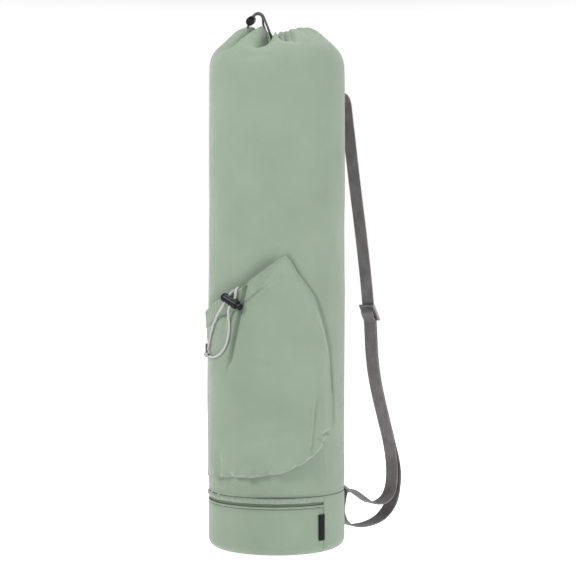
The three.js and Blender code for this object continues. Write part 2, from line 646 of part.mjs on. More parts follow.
function strapLine() {
  const sewn = BODY_RADIUS + SEAM_GAP + WEBBING / 2;
  const [topBar, middleBar, lowBar] = [1, 0, -1].map((row) => new THREE.Vector2(0, row * SLIDER_PITCH));
  const overLoop = BAR_WRAP + PLY_STEP;
  const inwards = crossing(BAR_WRAP, overLoop);
  const outwards = crossing(BAR_WRAP, BAR_WRAP);
  const throughTop = inSlider([
    ...arc(topBar, BAR_WRAP, 15, inwards - 90, 6),
    ...arc(middleBar, overLoop, inwards + 90, 180, 5),
  ]);
  const fixedEnd = inSlider([
    ...arc(lowBar, BAR_WRAP, 180, 90 + outwards, 4),
    ...arc(middleBar, BAR_WRAP, outwards - 90, 240, 14),
  ]);
  const sewnEnd = new THREE.Vector2(sewn, STRAP_SEWN_Z);
  const lifting = new THREE.Vector2(sewn, STRAP_SEWN_TOP);
  const top = [sewnEnd, ...smoothLine([lifting, ...STRAP_TOP.map(strapPlace), throughTop[0]], 22)];
  const parted = STRAP_INNER.slice(0, PARTING).map(strapPlace);
  const start = sliderPlace(-overLoop, -SLIDER_PITCH);
  const wrap = arc(RING_OUTER_BAR, RING_WRAP, 75, 178, 6);
  const inner = smoothLine([start, ...STRAP_INNER.map(strapPlace), wrap[0]], 28);
  const shared = inner.filter((p) => p.y > parted[PARTING - 1].y);
  const outer = offsetLine(shared, PLY_STEP).reverse();
  const back = smoothLine([wrap[wrap.length - 1], ...STRAP_RETURN.map(strapPlace), outer[0]], 20);
  const stretches = [throughTop.slice(1), inner, wrap.slice(1), back.slice(1), outer.slice(1)];
  return [...top, ...stretches.flat(), ...fixedEnd.slice(1)];
}

// The same line moved sideways, to the left of its run where the distance is above nothing.
function offsetLine(line, distance) {
  return line.map((point, i) => {
    const along = line[Math.min(i + 1, line.length - 1)].clone().sub(line[Math.max(i - 1, 0)]).normalize();
    return new THREE.Vector2(-along.y, along.x).multiplyScalar(distance).add(point);
  });
}

function inStrapPlane(mesh) {
  const basis = new THREE.Matrix4().makeBasis(
    polar(STRAP_AZIMUTH, 1, 0),
    new THREE.Vector3(0, 0, 1),
    polar(STRAP_AZIMUTH - 90, 1, 0),
  );
  mesh.setRotationFromMatrix(basis);
  return mesh;
}

function strap() {
  return inStrapPlane(meshOf("strap", strip(strapLine(), WEBBING_WIDTH, WEBBING), webbing));
}

function ringTab() {
  const root = BODY_RADIUS + SEAM_GAP;
  const turn = arc(RING_INNER_BAR, RING_WRAP, 90, -90, 10);
  const line = [
    new THREE.Vector2(root, RING_INNER_BAR.y + RING_WRAP),
    ...turn,
    new THREE.Vector2(root, RING_INNER_BAR.y - RING_WRAP),
  ];
  return inStrapPlane(meshOf("ring_tab", strip(line, WEBBING_WIDTH, WEBBING), webbing));
}

function bar(diameter, length, at) {
  const rod = new THREE.CylinderGeometry(diameter / 2, diameter / 2, length, BAR_SIDES);
  return solidFrom(rod.rotateX(Math.PI / 2).translate(at.x, at.y, 0));
}

function rectangle(length, width, corner) {
  const [x, y] = [length / 2 - corner, width / 2 - corner];
  const rounds = [arc({ x, y }, corner, 0, 90, 2), arc({ x: -x, y }, corner, 90, 180, 2)];
  rounds.push(arc({ x: -x, y: -y }, corner, 180, 270, 2), arc({ x, y: -y }, corner, 270, 360, 2));
  return rounds.flat();
}

function strapRing() {
  const opening = WEBBING_WIDTH + 2 * SIDE_PLAY;
  const [inset, round] = [2 * RING_BEVEL, RING_WIRE / 2];
  const [height, width] = [RING_HEIGHT + RING_WIRE - inset, opening + 2 * RING_WIRE - inset];
  const outline = new THREE.Shape(rectangle(height, width, round));
  const hole = rectangle(height - 2 * (RING_WIRE - inset), opening + inset, round);
  outline.holes.push(new THREE.Path(hole));
  const bevel = { bevelThickness: RING_BEVEL, bevelSize: RING_BEVEL, bevelSegments: 1 };
  const depth = RING_WIRE - 2 * RING_BEVEL;
  const geometry = new THREE.ExtrudeGeometry(outline, { depth, ...bevel }).translate(0, 0, -depth / 2);
  const droop = radians(RING_DROOP);
  const along = new THREE.Vector3(Math.cos(droop), -Math.sin(droop), 0);
  const across = new THREE.Vector3(0, 0, 1);
  geometry.applyMatrix4(new THREE.Matrix4().makeBasis(along, across, along.clone().cross(across)));
  const middle = RING_INNER_BAR.clone().add(RING_OUTER_BAR).multiplyScalar(0.5);
  return inStrapPlane(meshOf("strap_ring", geometry.translate(middle.x, middle.y, 0), greyPlastic));
}

function strapSlider() {
  const inner = WEBBING_WIDTH + 2 * SIDE_PLAY;
  const rails = [-1, 1].map((side) => {
    const outline = new THREE.Shape([
      ...arc(new THREE.Vector2(0, SLIDER_PITCH), SLIDER_BAR / 2, 0, 180, 6),
      ...arc(new THREE.Vector2(0, -SLIDER_PITCH), SLIDER_BAR / 2, 180, 360, 6),
    ]);
    const rail = new THREE.ExtrudeGeometry(outline, { depth: RAIL_WIDTH, bevelEnabled: false });
    return solidFrom(rail.translate(0, 0, side > 0 ? inner / 2 : -inner / 2 - RAIL_WIDTH));
  });
  const bars = [-1, 0, 1].map((row) =>
    bar(SLIDER_BAR - BAR_INSET, inner + RAIL_WIDTH, new THREE.Vector2(0, row * SLIDER_PITCH)),
  );
  const whole = [...rails, ...bars].reduce((sum, piece) => sum.add(piece));
  const geometry = geometryOf(whole).rotateZ(radians(SLIDER_TILT));
  const at = strapPlace(SLIDER_AT);
  return inStrapPlane(meshOf("strap_slider", geometry.translate(at.x, at.y, 0), greyPlastic));
}

// The free stretches of cord, point by point: the pocket's elastic runs from the hem through its
// lock to the knot, and the drawcord from the mouth's hem through its lock to its cut ends.
const CORD_POINTS = {
  pocket_cord_left: [
    [-54.1, -75.4, 327],
    [-51.6, -75.7, 331.3],
    [-50.8, -77.3, 334.2],
    [-51.2, -79.9, 336.4],
    [-52.7, -82.8, 337.1],
    [-54.8, -85.3, 336.3],
    [-57.1, -86.7, 334.2],
    [-60, -86.9, 329.6],
    [-63.8, -86.9, 323.7],
    [-66.7, -86.4, 319],
    [-68.9, -84.6, 315.6],
    [-71, -80.4, 312.1],
    [-73.5, -75, 308.3],
    [-75.7, -69.6, 304.5],
    [-77.7, -64.6, 300.3],
    [-79.7, -60.5, 295.4],
    [-81.6, -57, 290.2],
    [-83.4, -53.9, 284.2],
    [-84.9, -51, 278.1],
    [-86.2, -48.3, 271.7],
    [-87.6, -45.9, 265.3],
    [-89, -44.4, 259],
  ],
  pocket_cord_right: [
    [-45.1, -80.4, 331],
    [-45.3, -80.8, 336],
    [-46.3, -82.4, 338.9],
    [-47.8, -85.1, 340.4],
    [-49.4, -88, 340.1],
    [-50.7, -90.3, 338.1],
    [-51.4, -91.6, 334.7],
    [-51.6, -91, 330],
    [-52.4, -90.4, 326.2],
    [-55.8, -90.4, 320.7],
    [-58.8, -90.1, 315.9],
    [-60.5, -88.4, 311.7],
    [-60.8, -85.6, 306.5],
    [-60.2, -82.9, 300.7],
    [-59.7, -81.8, 295],
    [-59.8, -81.7, 288.3],
    [-60.4, -81.2, 281.7],
    [-61.7, -80.1, 275],
    [-63.4, -78.6, 269],
    [-66, -76, 263.4],
    [-69, -72.9, 259.1],
    [-72.5, -69, 255.5],
    [-76.4, -64.2, 252.8],
    [-79.9, -59.2, 251.4],
    [-83.4, -53.8, 251],
    [-87, -48.3, 251.8],
  ],
  drawcord_left: [
    [-10.3, -15.8, 661],
    [-11.1, -17, 665.7],
    [-12, -18.7, 669.6],
    [-13.2, -21.1, 673.6],
    [-14.8, -23.9, 677.6],
    [-16.2, -26.9, 680.7],
    [-17.4, -30.4, 683.9],
    [-17.8, -33.2, 686.5],
    [-17.5, -35.6, 689],
    [-17.7, -36.8, 691.4],
    [-18.8, -37.5, 693.6],
    [-20.5, -37.8, 695.3],
    [-22.8, -37.9, 696.3],
    [-25.3, -37.6, 696.4],
    [-27.7, -37.2, 695.6],
    [-29.6, -36.5, 694.1],
    [-31.2, -35.5, 691.2],
    [-33.5, -34.1, 686.8],
    [-35.8, -32.6, 682.3],
  ],
  drawcord_right: [
    [-5.4, -20.9, 656.3],
    [-5.9, -23.2, 661.2],
    [-6.4, -25.9, 665.1],
    [-7.2, -29.2, 668.1],
    [-8.5, -33.5, 671.3],
    [-9.7, -36.5, 674.4],
    [-11.2, -38.8, 678.2],
    [-13.2, -40.7, 683],
    [-15, -42.7, 687.1],
    [-16.6, -45.5, 691],
    [-18.3, -46.8, 693.5],
    [-20.5, -47.3, 695.2],
    [-23.2, -47.2, 695.9],
    [-26, -46.8, 695.6],
    [-28.6, -46.1, 694.1],
    [-30.8, -45, 691.3],
    [-33.2, -43.5, 686.6],
    [-35.7, -41.8, 681.8],
    [-38.3, -40.2, 676.8],
  ],
};
const POCKET_KNOT_AT = new THREE.Vector3(-90.4, -44.1, 253.5);
const POCKET_LOCK = { azimuth: -33.5, out: 16.3, up: 324, axis: [0.8, -0.4, -0.5], strands: [0.5, 0, 0.8] };
const DRAWCORD_LOCK = { at: [-33, -39, 687.4], axis: [-0.1, -0.96, -0.27], strands: [0.45, 0, 0.89] };

function cords() {
  const group = new THREE.Group();
  for (const [name, points] of Object.entries(CORD_POINTS)) {
    const route = points.map((p) => new THREE.Vector3(...p));
    group.add(meshOf(name, cordTube(route, route.length), cordWeave));
  }
  const knot = new THREE.SphereGeometry(0.5, 10, 8).scale(KNOT_WIDTH, KNOT_WIDTH, KNOT_LENGTH);
  const knotMesh = meshOf("pocket_cord_knot", knot, cordWeave);
  knotMesh.position.copy(POCKET_KNOT_AT);
  return group.add(knotMesh);
}

const bag = new THREE.Group();
bag.add(mainTube(), baseCompartment(), wovenTag(), pocketPanel());
bag.add(strap(), ringTab(), strapRing(), strapSlider(), cords());
const pocketLockAt = polar(POCKET_LOCK.azimuth, BODY_RADIUS + POCKET_LOCK.out, POCKET_LOCK.up);
bag.add(cordLock("pocket_lock", pocketLockAt, POCKET_LOCK));
bag.add(cordLock("drawcord_lock", new THREE.Vector3(...DRAWCORD_LOCK.at), DRAWCORD_LOCK));

export default bag;
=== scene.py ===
"""A sage drawstring mat bag: a cloth tube with a gathered mouth, a zipped base, a slack bottle pocket
with an elastic cord and lock, and a grey webbing shoulder strap. Metres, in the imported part's frame."""

import math

import bmesh
import bpy
from mathutils import Matrix, Vector, noise


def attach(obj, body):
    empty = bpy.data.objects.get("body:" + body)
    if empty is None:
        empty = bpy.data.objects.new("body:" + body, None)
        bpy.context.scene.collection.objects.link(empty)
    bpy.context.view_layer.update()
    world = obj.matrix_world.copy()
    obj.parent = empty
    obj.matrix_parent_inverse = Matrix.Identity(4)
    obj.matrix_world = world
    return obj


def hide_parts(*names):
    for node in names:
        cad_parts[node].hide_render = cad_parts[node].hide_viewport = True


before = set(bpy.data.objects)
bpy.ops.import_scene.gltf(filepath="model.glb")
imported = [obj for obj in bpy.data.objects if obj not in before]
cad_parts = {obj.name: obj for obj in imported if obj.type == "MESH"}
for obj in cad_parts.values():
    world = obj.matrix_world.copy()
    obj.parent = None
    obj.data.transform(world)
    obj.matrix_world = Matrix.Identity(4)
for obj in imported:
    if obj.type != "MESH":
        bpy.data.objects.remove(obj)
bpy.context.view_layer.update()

# The studio: a camera level with the middle of the bag, broad soft lights above and at both sides,
# and a white floor under a white sky, so that the bag stands alone as in a catalogue picture.
CAMERA_AT = (0.0149, -1.8, 0.340)
CAMERA_LENS = 84.7
LIGHTS = [
    {"name": "left_softbox", "at": (-1.6, -1.7, 1.7), "size": 0.8, "watts": 56},
    {"name": "right_softbox", "at": (2.2, -0.9, 1.0), "size": 1.2, "watts": 42},
    {"name": "top_softbox", "at": (-0.2, -0.4, 2.2), "size": 0.9, "watts": 26},
]
SKY_BANDS = [  # (the sine of the height above the horizon, brightness)
    (0.0, 1.0), (0.2, 1.0), (0.27, 0.2), (1.0, 0.16),
]
LIT_POINT = Vector((0.0, 0.0, 0.38))

scene = bpy.context.scene
scene.view_settings.view_transform = "Standard"


def in_scene(thing):
    scene.collection.objects.link(thing)
    return thing


camera = in_scene(bpy.data.objects.new("camera", bpy.data.cameras.new("camera")))
camera.location = CAMERA_AT
camera.rotation_euler = (math.radians(90), 0, 0)
camera.data.lens = CAMERA_LENS
scene.camera = camera
for light in LIGHTS:
    softbox = in_scene(bpy.data.objects.new(light["name"], bpy.data.lights.new(light["name"], "AREA")))
    softbox.data.shape = "DISK"
    softbox.data.size = light["size"]
    softbox.data.energy = light["watts"]
    softbox.location = light["at"]
    softbox.rotation_mode = "QUATERNION"
    softbox.rotation_quaternion = (Vector(light["at"]) - LIT_POINT).to_track_quat("Z", "Y")
sky = bpy.data.worlds.new("white_sky")
sky.use_nodes = True
scene.world = sky
sky_way = sky.node_tree.nodes.new("ShaderNodeTexCoord")
sky_split = sky.node_tree.nodes.new("ShaderNodeSeparateXYZ")
sky_ramp = sky.node_tree.nodes.new("ShaderNodeValToRGB")
sky.node_tree.links.new(sky_way.outputs["Generated"], sky_split.inputs[0])
sky.node_tree.links.new(sky_split.outputs[2], sky_ramp.inputs[0])
sky.node_tree.links.new(sky_ramp.outputs[0], sky.node_tree.nodes["Background"].inputs["Color"])
for band, (height, grey) in enumerate(SKY_BANDS):
    step = sky_ramp.color_ramp.elements[band] if band < 2 else sky_ramp.color_ramp.elements.new(height)
    step.position = height
    step.color = (grey, grey, grey, 1)


def new_material(name, **sockets):
    """A material whose plain numbers sit on its shader's own sockets."""
    material = bpy.data.materials.new(name)
    material.use_nodes = True
    for socket, value in sockets.items():
        material.node_tree.nodes["Principled BSDF"].inputs[socket.replace("_", " ")].default_value = value
    return material


def add_node(material, kind, sockets=None, **settings):
    made = material.node_tree.nodes.new("ShaderNode" + kind)
    for setting, value in settings.items():
        setattr(made, setting, value)
    for socket, value in (sockets or {}).items():
        if isinstance(value, bpy.types.NodeSocket):
            material.node_tree.links.new(value, made.inputs[socket])
        else:
            made.inputs[socket].default_value = value
    return made


def wear(material, **sockets):
    """Links node outputs to the shader's sockets."""
    for socket, value in sockets.items():
        shader = material.node_tree.nodes["Principled BSDF"]
        material.node_tree.links.new(value, shader.inputs[socket.replace("_", " ")])


def graded(material, share, dark, light):
    """The colour that lies at that share of the way from dark to light."""
    ramp = add_node(material, "ValToRGB", {0: share})
    ramp.color_ramp.elements[0].color = (*dark, 1)
    ramp.color_ramp.elements[1].color = (*light, 1)
    return ramp.outputs[0]


def relief_of(material, height, strength, distance):
    """The surface's normal, raised by that height."""
    sockets = {"Height": height, "Strength": strength, "Distance": distance}
    return add_node(material, "Bump", sockets).outputs[0]


def sine_of(material, value, factor):
    turned = add_node(material, "Math", {0: value, 1: factor}, operation="MULTIPLY")
    return add_node(material, "Math", {0: turned.outputs[0]}, operation="SINE").outputs[0]


def object_from(name, bm, material, smooth=True):
    mesh = bpy.data.meshes.new(name)
    bm.to_mesh(mesh)
    bm.free()
    mesh.materials.append(material)
    if smooth:
        mesh.shade_smooth()
    return in_scene(bpy.data.objects.new(name, mesh))


FLOOR_RADIUS = 12
white_paper = new_material("white_paper", Base_Color=(0.8, 0.8, 0.8, 1), Roughness=0.9,
                           Emission_Color=(1, 1, 1, 1), Emission_Strength=0.9)
floor_mesh = bmesh.new()
bmesh.ops.create_circle(floor_mesh, cap_ends=True, segments=96, radius=FLOOR_RADIUS)
floor = object_from("floor", floor_mesh, white_paper)
floor.location.z = -0.0004


# The cords: two strands of dark drawcord that come up out of the mouth's hem, cross and run down
# through their lock to heat-cut ends, and two strands of pale elastic from the pocket's hem,
# through their lock and down to one knot. All are braided round a core, about 3 mm thick.
CORD_DIAMETER = 0.003
CORD_SIDES = 20
CORD_STEP = 0.0012
BRAID_STRETCH = 1.4
POCKET_CORD_LEFT = [
    (-0.0541, -0.0754, 0.3270), (-0.0516, -0.0757, 0.3313), (-0.0508, -0.0773, 0.3342),
    (-0.0512, -0.0799, 0.3364), (-0.0527, -0.0828, 0.3371), (-0.0548, -0.0853, 0.3363),
    (-0.0571, -0.0867, 0.3342), (-0.0600, -0.0869, 0.3296), (-0.0638, -0.0869, 0.3237),
    (-0.0667, -0.0864, 0.3190), (-0.0689, -0.0846, 0.3156), (-0.0710, -0.0804, 0.3121),
    (-0.0735, -0.0750, 0.3083), (-0.0757, -0.0696, 0.3045), (-0.0777, -0.0646, 0.3003),
    (-0.0797, -0.0605, 0.2954), (-0.0816, -0.0570, 0.2902), (-0.0834, -0.0539, 0.2842),
    (-0.0849, -0.0510, 0.2781), (-0.0862, -0.0483, 0.2717), (-0.0876, -0.0459, 0.2653),
    (-0.0890, -0.0444, 0.2590),
]
POCKET_CORD_RIGHT = [
    (-0.0451, -0.0804, 0.3310), (-0.0453, -0.0808, 0.3360), (-0.0463, -0.0824, 0.3389),
    (-0.0478, -0.0851, 0.3404), (-0.0494, -0.0880, 0.3401), (-0.0507, -0.0903, 0.3381),
    (-0.0514, -0.0916, 0.3347), (-0.0516, -0.0910, 0.3300), (-0.0524, -0.0904, 0.3262),
    (-0.0558, -0.0904, 0.3207), (-0.0588, -0.0901, 0.3159), (-0.0605, -0.0884, 0.3117),
    (-0.0608, -0.0856, 0.3065), (-0.0602, -0.0829, 0.3007), (-0.0597, -0.0818, 0.2950),
    (-0.0598, -0.0817, 0.2883), (-0.0604, -0.0812, 0.2817), (-0.0617, -0.0801, 0.2750),
    (-0.0634, -0.0786, 0.2690), (-0.0660, -0.0760, 0.2634), (-0.0690, -0.0729, 0.2591),
    (-0.0725, -0.0690, 0.2555), (-0.0764, -0.0642, 0.2528), (-0.0799, -0.0592, 0.2514),
    (-0.0834, -0.0538, 0.2510), (-0.0870, -0.0483, 0.2518),
]
DRAWCORD_LEFT = [
    (-0.0103, -0.0158, 0.6610), (-0.0111, -0.0170, 0.6657), (-0.0120, -0.0187, 0.6696),
    (-0.0132, -0.0211, 0.6736), (-0.0148, -0.0239, 0.6776), (-0.0162, -0.0269, 0.6807),
    (-0.0174, -0.0304, 0.6839), (-0.0178, -0.0332, 0.6865), (-0.0175, -0.0356, 0.6890),
    (-0.0177, -0.0368, 0.6914), (-0.0188, -0.0375, 0.6936), (-0.0205, -0.0378, 0.6953),
    (-0.0228, -0.0379, 0.6963), (-0.0253, -0.0376, 0.6964), (-0.0277, -0.0372, 0.6956),
    (-0.0296, -0.0365, 0.6941), (-0.0312, -0.0355, 0.6912), (-0.0335, -0.0341, 0.6868),
    (-0.0358, -0.0326, 0.6823),
]
DRAWCORD_RIGHT = [
    (-0.0054, -0.0209, 0.6563), (-0.0059, -0.0232, 0.6612), (-0.0064, -0.0259, 0.6651),
    (-0.0072, -0.0292, 0.6681), (-0.0085, -0.0335, 0.6713), (-0.0097, -0.0365, 0.6744),
    (-0.0112, -0.0388, 0.6782), (-0.0132, -0.0407, 0.6830), (-0.0150, -0.0427, 0.6871),
    (-0.0166, -0.0455, 0.6910), (-0.0183, -0.0468, 0.6935), (-0.0205, -0.0473, 0.6952),
    (-0.0232, -0.0472, 0.6959), (-0.0260, -0.0468, 0.6956), (-0.0286, -0.0461, 0.6941),
    (-0.0308, -0.0450, 0.6913), (-0.0332, -0.0435, 0.6866), (-0.0357, -0.0418, 0.6818),
    (-0.0383, -0.0402, 0.6768),
]
KNOT_AT = Vector((-0.0904, -0.0441, 0.2535))


def smooth_curve(values, share):
    """The value at that share of the way along a smooth curve through evenly spaced values."""
    x = min(max(share, 0.0), 1.0) * (len(values) - 1)
    i = min(int(x), len(values) - 2)
    a, b = values[max(i - 1, 0)], values[i]
    c, d = values[i + 1], values[min(i + 2, len(values) - 1)]
    f = x - i
    square, cube = a * 2 - b * 5 + c * 4 - d, b * 3 - a - c * 3 + d
    return (b * 2 + (c - a) * f + square * f ** 2 + cube * f ** 3) * 0.5


def even_line(points, step):
    """The smooth curve through the points, as points that lie a step apart."""
    fine = [smooth_curve([Vector(p) for p in points], i / 600) for i in range(601)]
    run = [0.0]
    for before, after in zip(fine, fine[1:]):
        run.append(run[-1] + (after - before).length)
    count = max(8, round(run[-1] / step))
    line, at = [], 0
    for i in range(count + 1):
        wanted = run[-1] * i / count
        while at < len(run) - 2 and run[at + 1] < wanted:
            at += 1
        part = (wanted - run[at]) / max(run[at + 1] - run[at], 1e-9)
        line.append(fine[at].lerp(fine[at + 1], part))
    return line


def eased_bends(line, passes=6):
    """Takes the last kinks out of a line, so that no bend is tighter than the cord allows."""
    for _ in range(passes):
        inner = [(a + b * 2 + c) / 4 for a, b, c in zip(line, line[1:], line[2:])]
        line = [line[0], *inner, line[-1]]
    return line


def frames_along(line, side=None):
    """The point, the side and the upward way at each point of a line, without twist."""
    frames = []
    for i, at in enumerate(line):
        along = (line[min(i + 1, len(line) - 1)] - line[max(i - 1, 0)]).normalized()
        side = along.orthogonal() if side is None else side
        side = (side - along * side.dot(along)).normalized()
        frames.append((at, side, along.cross(side)))
    return frames


def length_of(line):
    return sum((b - a).length for a, b in zip(line, line[1:]))


def sheet_mesh(columns, rows, place, size, wrap=False, spread=None, run=None):
    """A grid laid where place(u, v) says, with a UV map in metres. Its face is on the side of u x v."""
    bm = bmesh.new()
    bmesh.ops.create_grid(bm, x_segments=columns, y_segments=rows, size=0.5)
    uv = bm.loops.layers.uv.new("cloth")
    for vert in bm.verts:
        across = vert.co.x + 0.5
        vert.co = (spread(across) if spread else across, vert.co.y + 0.5, 0)
    for face in bm.faces:
        for loop in face.loops:
            u, v, _ = loop.vert.co
            loop[uv].uv = (u * size[0], run(u, v) if run else v * size[1])
    for vert in bm.verts:
        vert.co = place(vert.co.x, vert.co.y)
    if wrap:
        bmesh.ops.remove_doubles(bm, verts=bm.verts, dist=1e-6)
    return bm


def swept_mesh(frames, around, section, girth, capped=True):
    """A closed section, given as section(turn, share) = (across, up), carried along the frames."""
    rows = len(frames) - 1

    def place(u, v):
        at, side, up = frames[round(v * rows)]
        across, rise = section(u, v)
        return at + side * across + up * rise

    length = length_of([at for at, _, _ in frames])
    bm = sheet_mesh(around, rows, place, (girth, length), wrap=True)
    if capped:
        bmesh.ops.holes_fill(bm, edges=bm.edges, sides=0)
    return bm


def braided(name, light, dark, strands):
    """A braid: two sets of slanting strands that pass over and under each other round the cord."""
    material = new_material(name, Roughness=0.72, Sheen_Weight=0.2)
    uv = add_node(material, "UVMap", uv_map="cloth").outputs[0]
    split = add_node(material, "SeparateXYZ", {0: uv})
    around, along = (
        add_node(material, "Math", {0: split.outputs[way], 1: strands / CORD_DIAMETER / stretch},
                 operation="MULTIPLY").outputs[0]
        for way, stretch in ((0, 1), (1, BRAID_STRETCH))
    )
    lifts = []
    for operation in ("ADD", "SUBTRACT"):
        slant = add_node(material, "Math", {0: around, 1: along}, operation=operation)
        lifts.append(add_node(material, "Math", {0: slant.outputs[0]}, operation="SINE").outputs[0])
    weave = add_node(material, "Math", {0: lifts[0], 1: lifts[1]}, operation="MULTIPLY").outputs[0]
    fibre = add_node(material, "TexNoise", {"Vector": uv, "Scale": 2600.0, "Detail": 3.0}).outputs[0]
    height = add_node(material, "Math", {0: fibre, 1: 0.35, 2: weave}, operation="MULTIPLY_ADD").outputs[0]
    # The colour follows the relief: painted shade makes the hollows between the strands darker and their
    # crowns lighter; the fibre noise in it is the yarn's own random tone.
    share = add_node(material, "MapRange", {0: height, 1: -1.0, 2: 1.3}).outputs[0]
    wear(material, Base_Color=graded(material, share, dark, light),
         Normal=relief_of(material, height, 0.9, 0.00022))
    return material


def make_cord(name, points, material, node, slot):
    line = eased_bends(even_line(points, CORD_STEP))
    radius = CORD_DIAMETER / 2

    def section(turn, share):
        angle = 2 * math.pi * turn
        end = min(share, 1 - share) * (len(line) - 1)
        r = radius * (0.72 + 0.28 * min(end / 1.5, 1.0) ** 0.5)
        return r * math.cos(angle), r * math.sin(angle)

    bm = swept_mesh(frames_along(line), CORD_SIDES, section, 2 * math.pi * radius)
    piece = object_from(name, bm, material)
    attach(piece, "bag")
    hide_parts(node)
    return piece, line


pale_braid = braided("pale_braid", (0.42, 0.41, 0.41), (0.22, 0.22, 0.22), 8)
dark_braid = braided("dark_braid", (0.085, 0.085, 0.085), (0.02, 0.02, 0.02), 8)
CORDS = [
    ("elastic_left", POCKET_CORD_LEFT, pale_braid, "pocket_cord_left", "cord_weave"),
    ("elastic_right", POCKET_CORD_RIGHT, pale_braid, "pocket_cord_right", "cord_weave"),
    ("drawcord_strand_left", DRAWCORD_LEFT, dark_braid, "drawcord_left", "drawcord_weave"),
    ("drawcord_strand_right", DRAWCORD_RIGHT, dark_braid, "drawcord_right", "drawcord_weave"),
]
for cord_name, cord_points, cord_material, cord_node, cord_slot in CORDS:
    make_cord(cord_name, cord_points, cord_material, cord_node, cord_slot)


# The tube: one piece of coated sage cloth, closed by a seam down its back, whose upper end is
# folded into a channel for the drawcord and gathered by it, so that it draws in over a soft ridge
# into pleats round a small mouth. It hangs slack between the mat's ends and its base seam.
CLOTH = 0.0015
BODY_RADIUS = 0.090
TUBE_BASE_Z = 0.0742
SHOULDER_Z = 0.608
CROWN_Z = 0.6905
CROWN_DIP = 0.0135
MOUTH_RADIUS = 0.022
FOLD_DEPTH = 0.012
FOLD_FADE = 0.35
UPRIGHT_SHARE = 0.58
CROWN_RUN = 0.142
ROW_HEIGHTS = [(0, TUBE_BASE_Z), (0.2, 0.165), (0.76, 0.385), (1, SHOULDER_Z)]
CROWN_PROFILE = [  # (share outwards, share upwards, share of the folds)
    (1.0, 0.0, 0.0), (0.997, 0.2, 0.02), (0.985, 0.37, 0.08), (0.945, 0.49, 0.18), (0.875, 0.59, 0.34),
    (0.77, 0.69, 0.55), (0.64, 0.81, 0.78), (0.49, 0.925, 0.96), (0.36, 0.985, 1.0), (0.24, 1.0, 0.95),
    (0.14, 0.95, 0.75), (0.05, 0.85, 0.5), (0.0, 0.7, 0.3),
]
RIDGE_ROW = 9
FOLDS = [
    {"azimuth": -57, "width": 10, "depth": -0.25, "lean": -10, "reach": 0.6},
    {"azimuth": -40, "width": 6, "depth": 1.6, "lean": -19, "reach": 0.92},
    {"azimuth": -28, "width": 7, "depth": -0.45, "lean": -20, "reach": 0.75},
    {"azimuth": -12, "width": 8, "depth": 2.1, "lean": -9, "reach": 0.88},
    {"azimuth": -3, "width": 4, "depth": -0.25, "lean": 0, "reach": 0.5},
    {"azimuth": 3, "width": 1.8, "depth": 0.75, "lean": 20, "reach": 0.46},
    {"azimuth": 8, "width": 7, "depth": 0.75, "lean": 6, "reach": 0.62},
    {"azimuth": 14, "width": 1.8, "depth": 0.75, "lean": -4, "reach": 0.46},
    {"azimuth": 21, "width": 2.4, "depth": 0.5, "lean": -8, "reach": 0.66},
    {"azimuth": 34, "width": 10, "depth": 0.2, "lean": 8, "reach": 0.4},
    {"azimuth": 68, "width": 9, "depth": 0.35, "lean": 6, "reach": 0.5},
    {"azimuth": 98, "width": 8, "depth": 0.75, "lean": 5, "reach": 0.9},
    {"azimuth": 126, "width": 8, "depth": 0.85, "lean": -6, "reach": 0.75},
    {"azimuth": 154, "width": 8, "depth": 0.8, "lean": 4, "reach": 1.0},
    {"azimuth": 184, "width": 9, "depth": 0.9, "lean": -5, "reach": 0.7},
    {"azimuth": 214, "width": 8, "depth": 0.75, "lean": 6, "reach": 0.95},
    {"azimuth": 243, "width": 8, "depth": 0.85, "lean": -4, "reach": 0.7},
    {"azimuth": 272, "width": 8, "depth": 0.5, "lean": 6, "reach": 0.85},
    {"azimuth": 296, "width": 7, "depth": 0.45, "lean": -6, "reach": 0.6},
]
PLEATS = 31
PLEAT_DEPTH = 0.0016


def eased(value):
    value = min(max(value, 0.0), 1.0)
    return value * value * (3 - 2 * value)


def polar(azimuth, radius, z):
    turn = math.radians(azimuth)
    return Vector((radius * math.sin(turn), -radius * math.cos(turn), z))


def fold_drop(azimuth, down):
    total = 0.0
    for fold in FOLDS:
        centre = fold["azimuth"] + fold["lean"] * down
        turn = abs((azimuth - centre + 180) % 360 - 180) / fold["width"]
        if turn < 4:
            sharp = 1.35 if fold["depth"] > 0 else 2
            total += fold["depth"] * eased((fold["reach"] - down) / FOLD_FADE) * math.exp(-(turn ** sharp))
    return total


def crown_section(row, azimuth):
    out, up, _ = smooth_curve([Vector(r) for r in CROWN_PROFILE], row / (len(CROWN_PROFILE) - 1))
    facing = (1 + math.cos(math.radians(azimuth))) / 2
    lift = CROWN_Z - SHOULDER_Z - CROWN_DIP * facing ** 2
    return Vector((MOUTH_RADIUS + out * (BODY_RADIUS - MOUTH_RADIUS), SHOULDER_Z + up * lift))


def crown_place(azimuth, row):
    fold = smooth_curve([r[2] for r in CROWN_PROFILE], row / (len(CROWN_PROFILE) - 1))
    along = crown_section(row + 0.2, azimuth) - crown_section(row - 0.2, azimuth)
    inwards = Vector((-along.y, along.x)).normalized()
    down = max(0.0, 1 - fold) if row < RIDGE_ROW else 0.0
    wander = 9 * noise.noise(Vector((azimuth / 40, row / 5, 3)))
    pleat = math.sin(math.radians(PLEATS * (azimuth + wander)))
    fine = PLEAT_DEPTH * eased((row - 4) / 5) * (0.6 * pleat + 0.4 * abs(pleat))
    drop = FOLD_DEPTH * fold * fold_drop(azimuth, down) + fine
    return polar(azimuth, *(crown_section(row, azimuth) + inwards * drop))


POCKET_SEAM = [  # (height, azimuth) of the pocket's right edge
    (0.163, 52), (0.2064, 52), (0.2326, 50.1), (0.2646, 47.6), (0.2885, 42.8), (0.3068, 38.3), (0.328, 32.1),
    (0.342, 25.6), (0.3592, 16.8), (0.3746, 11.2), (0.381, 7.3),
]
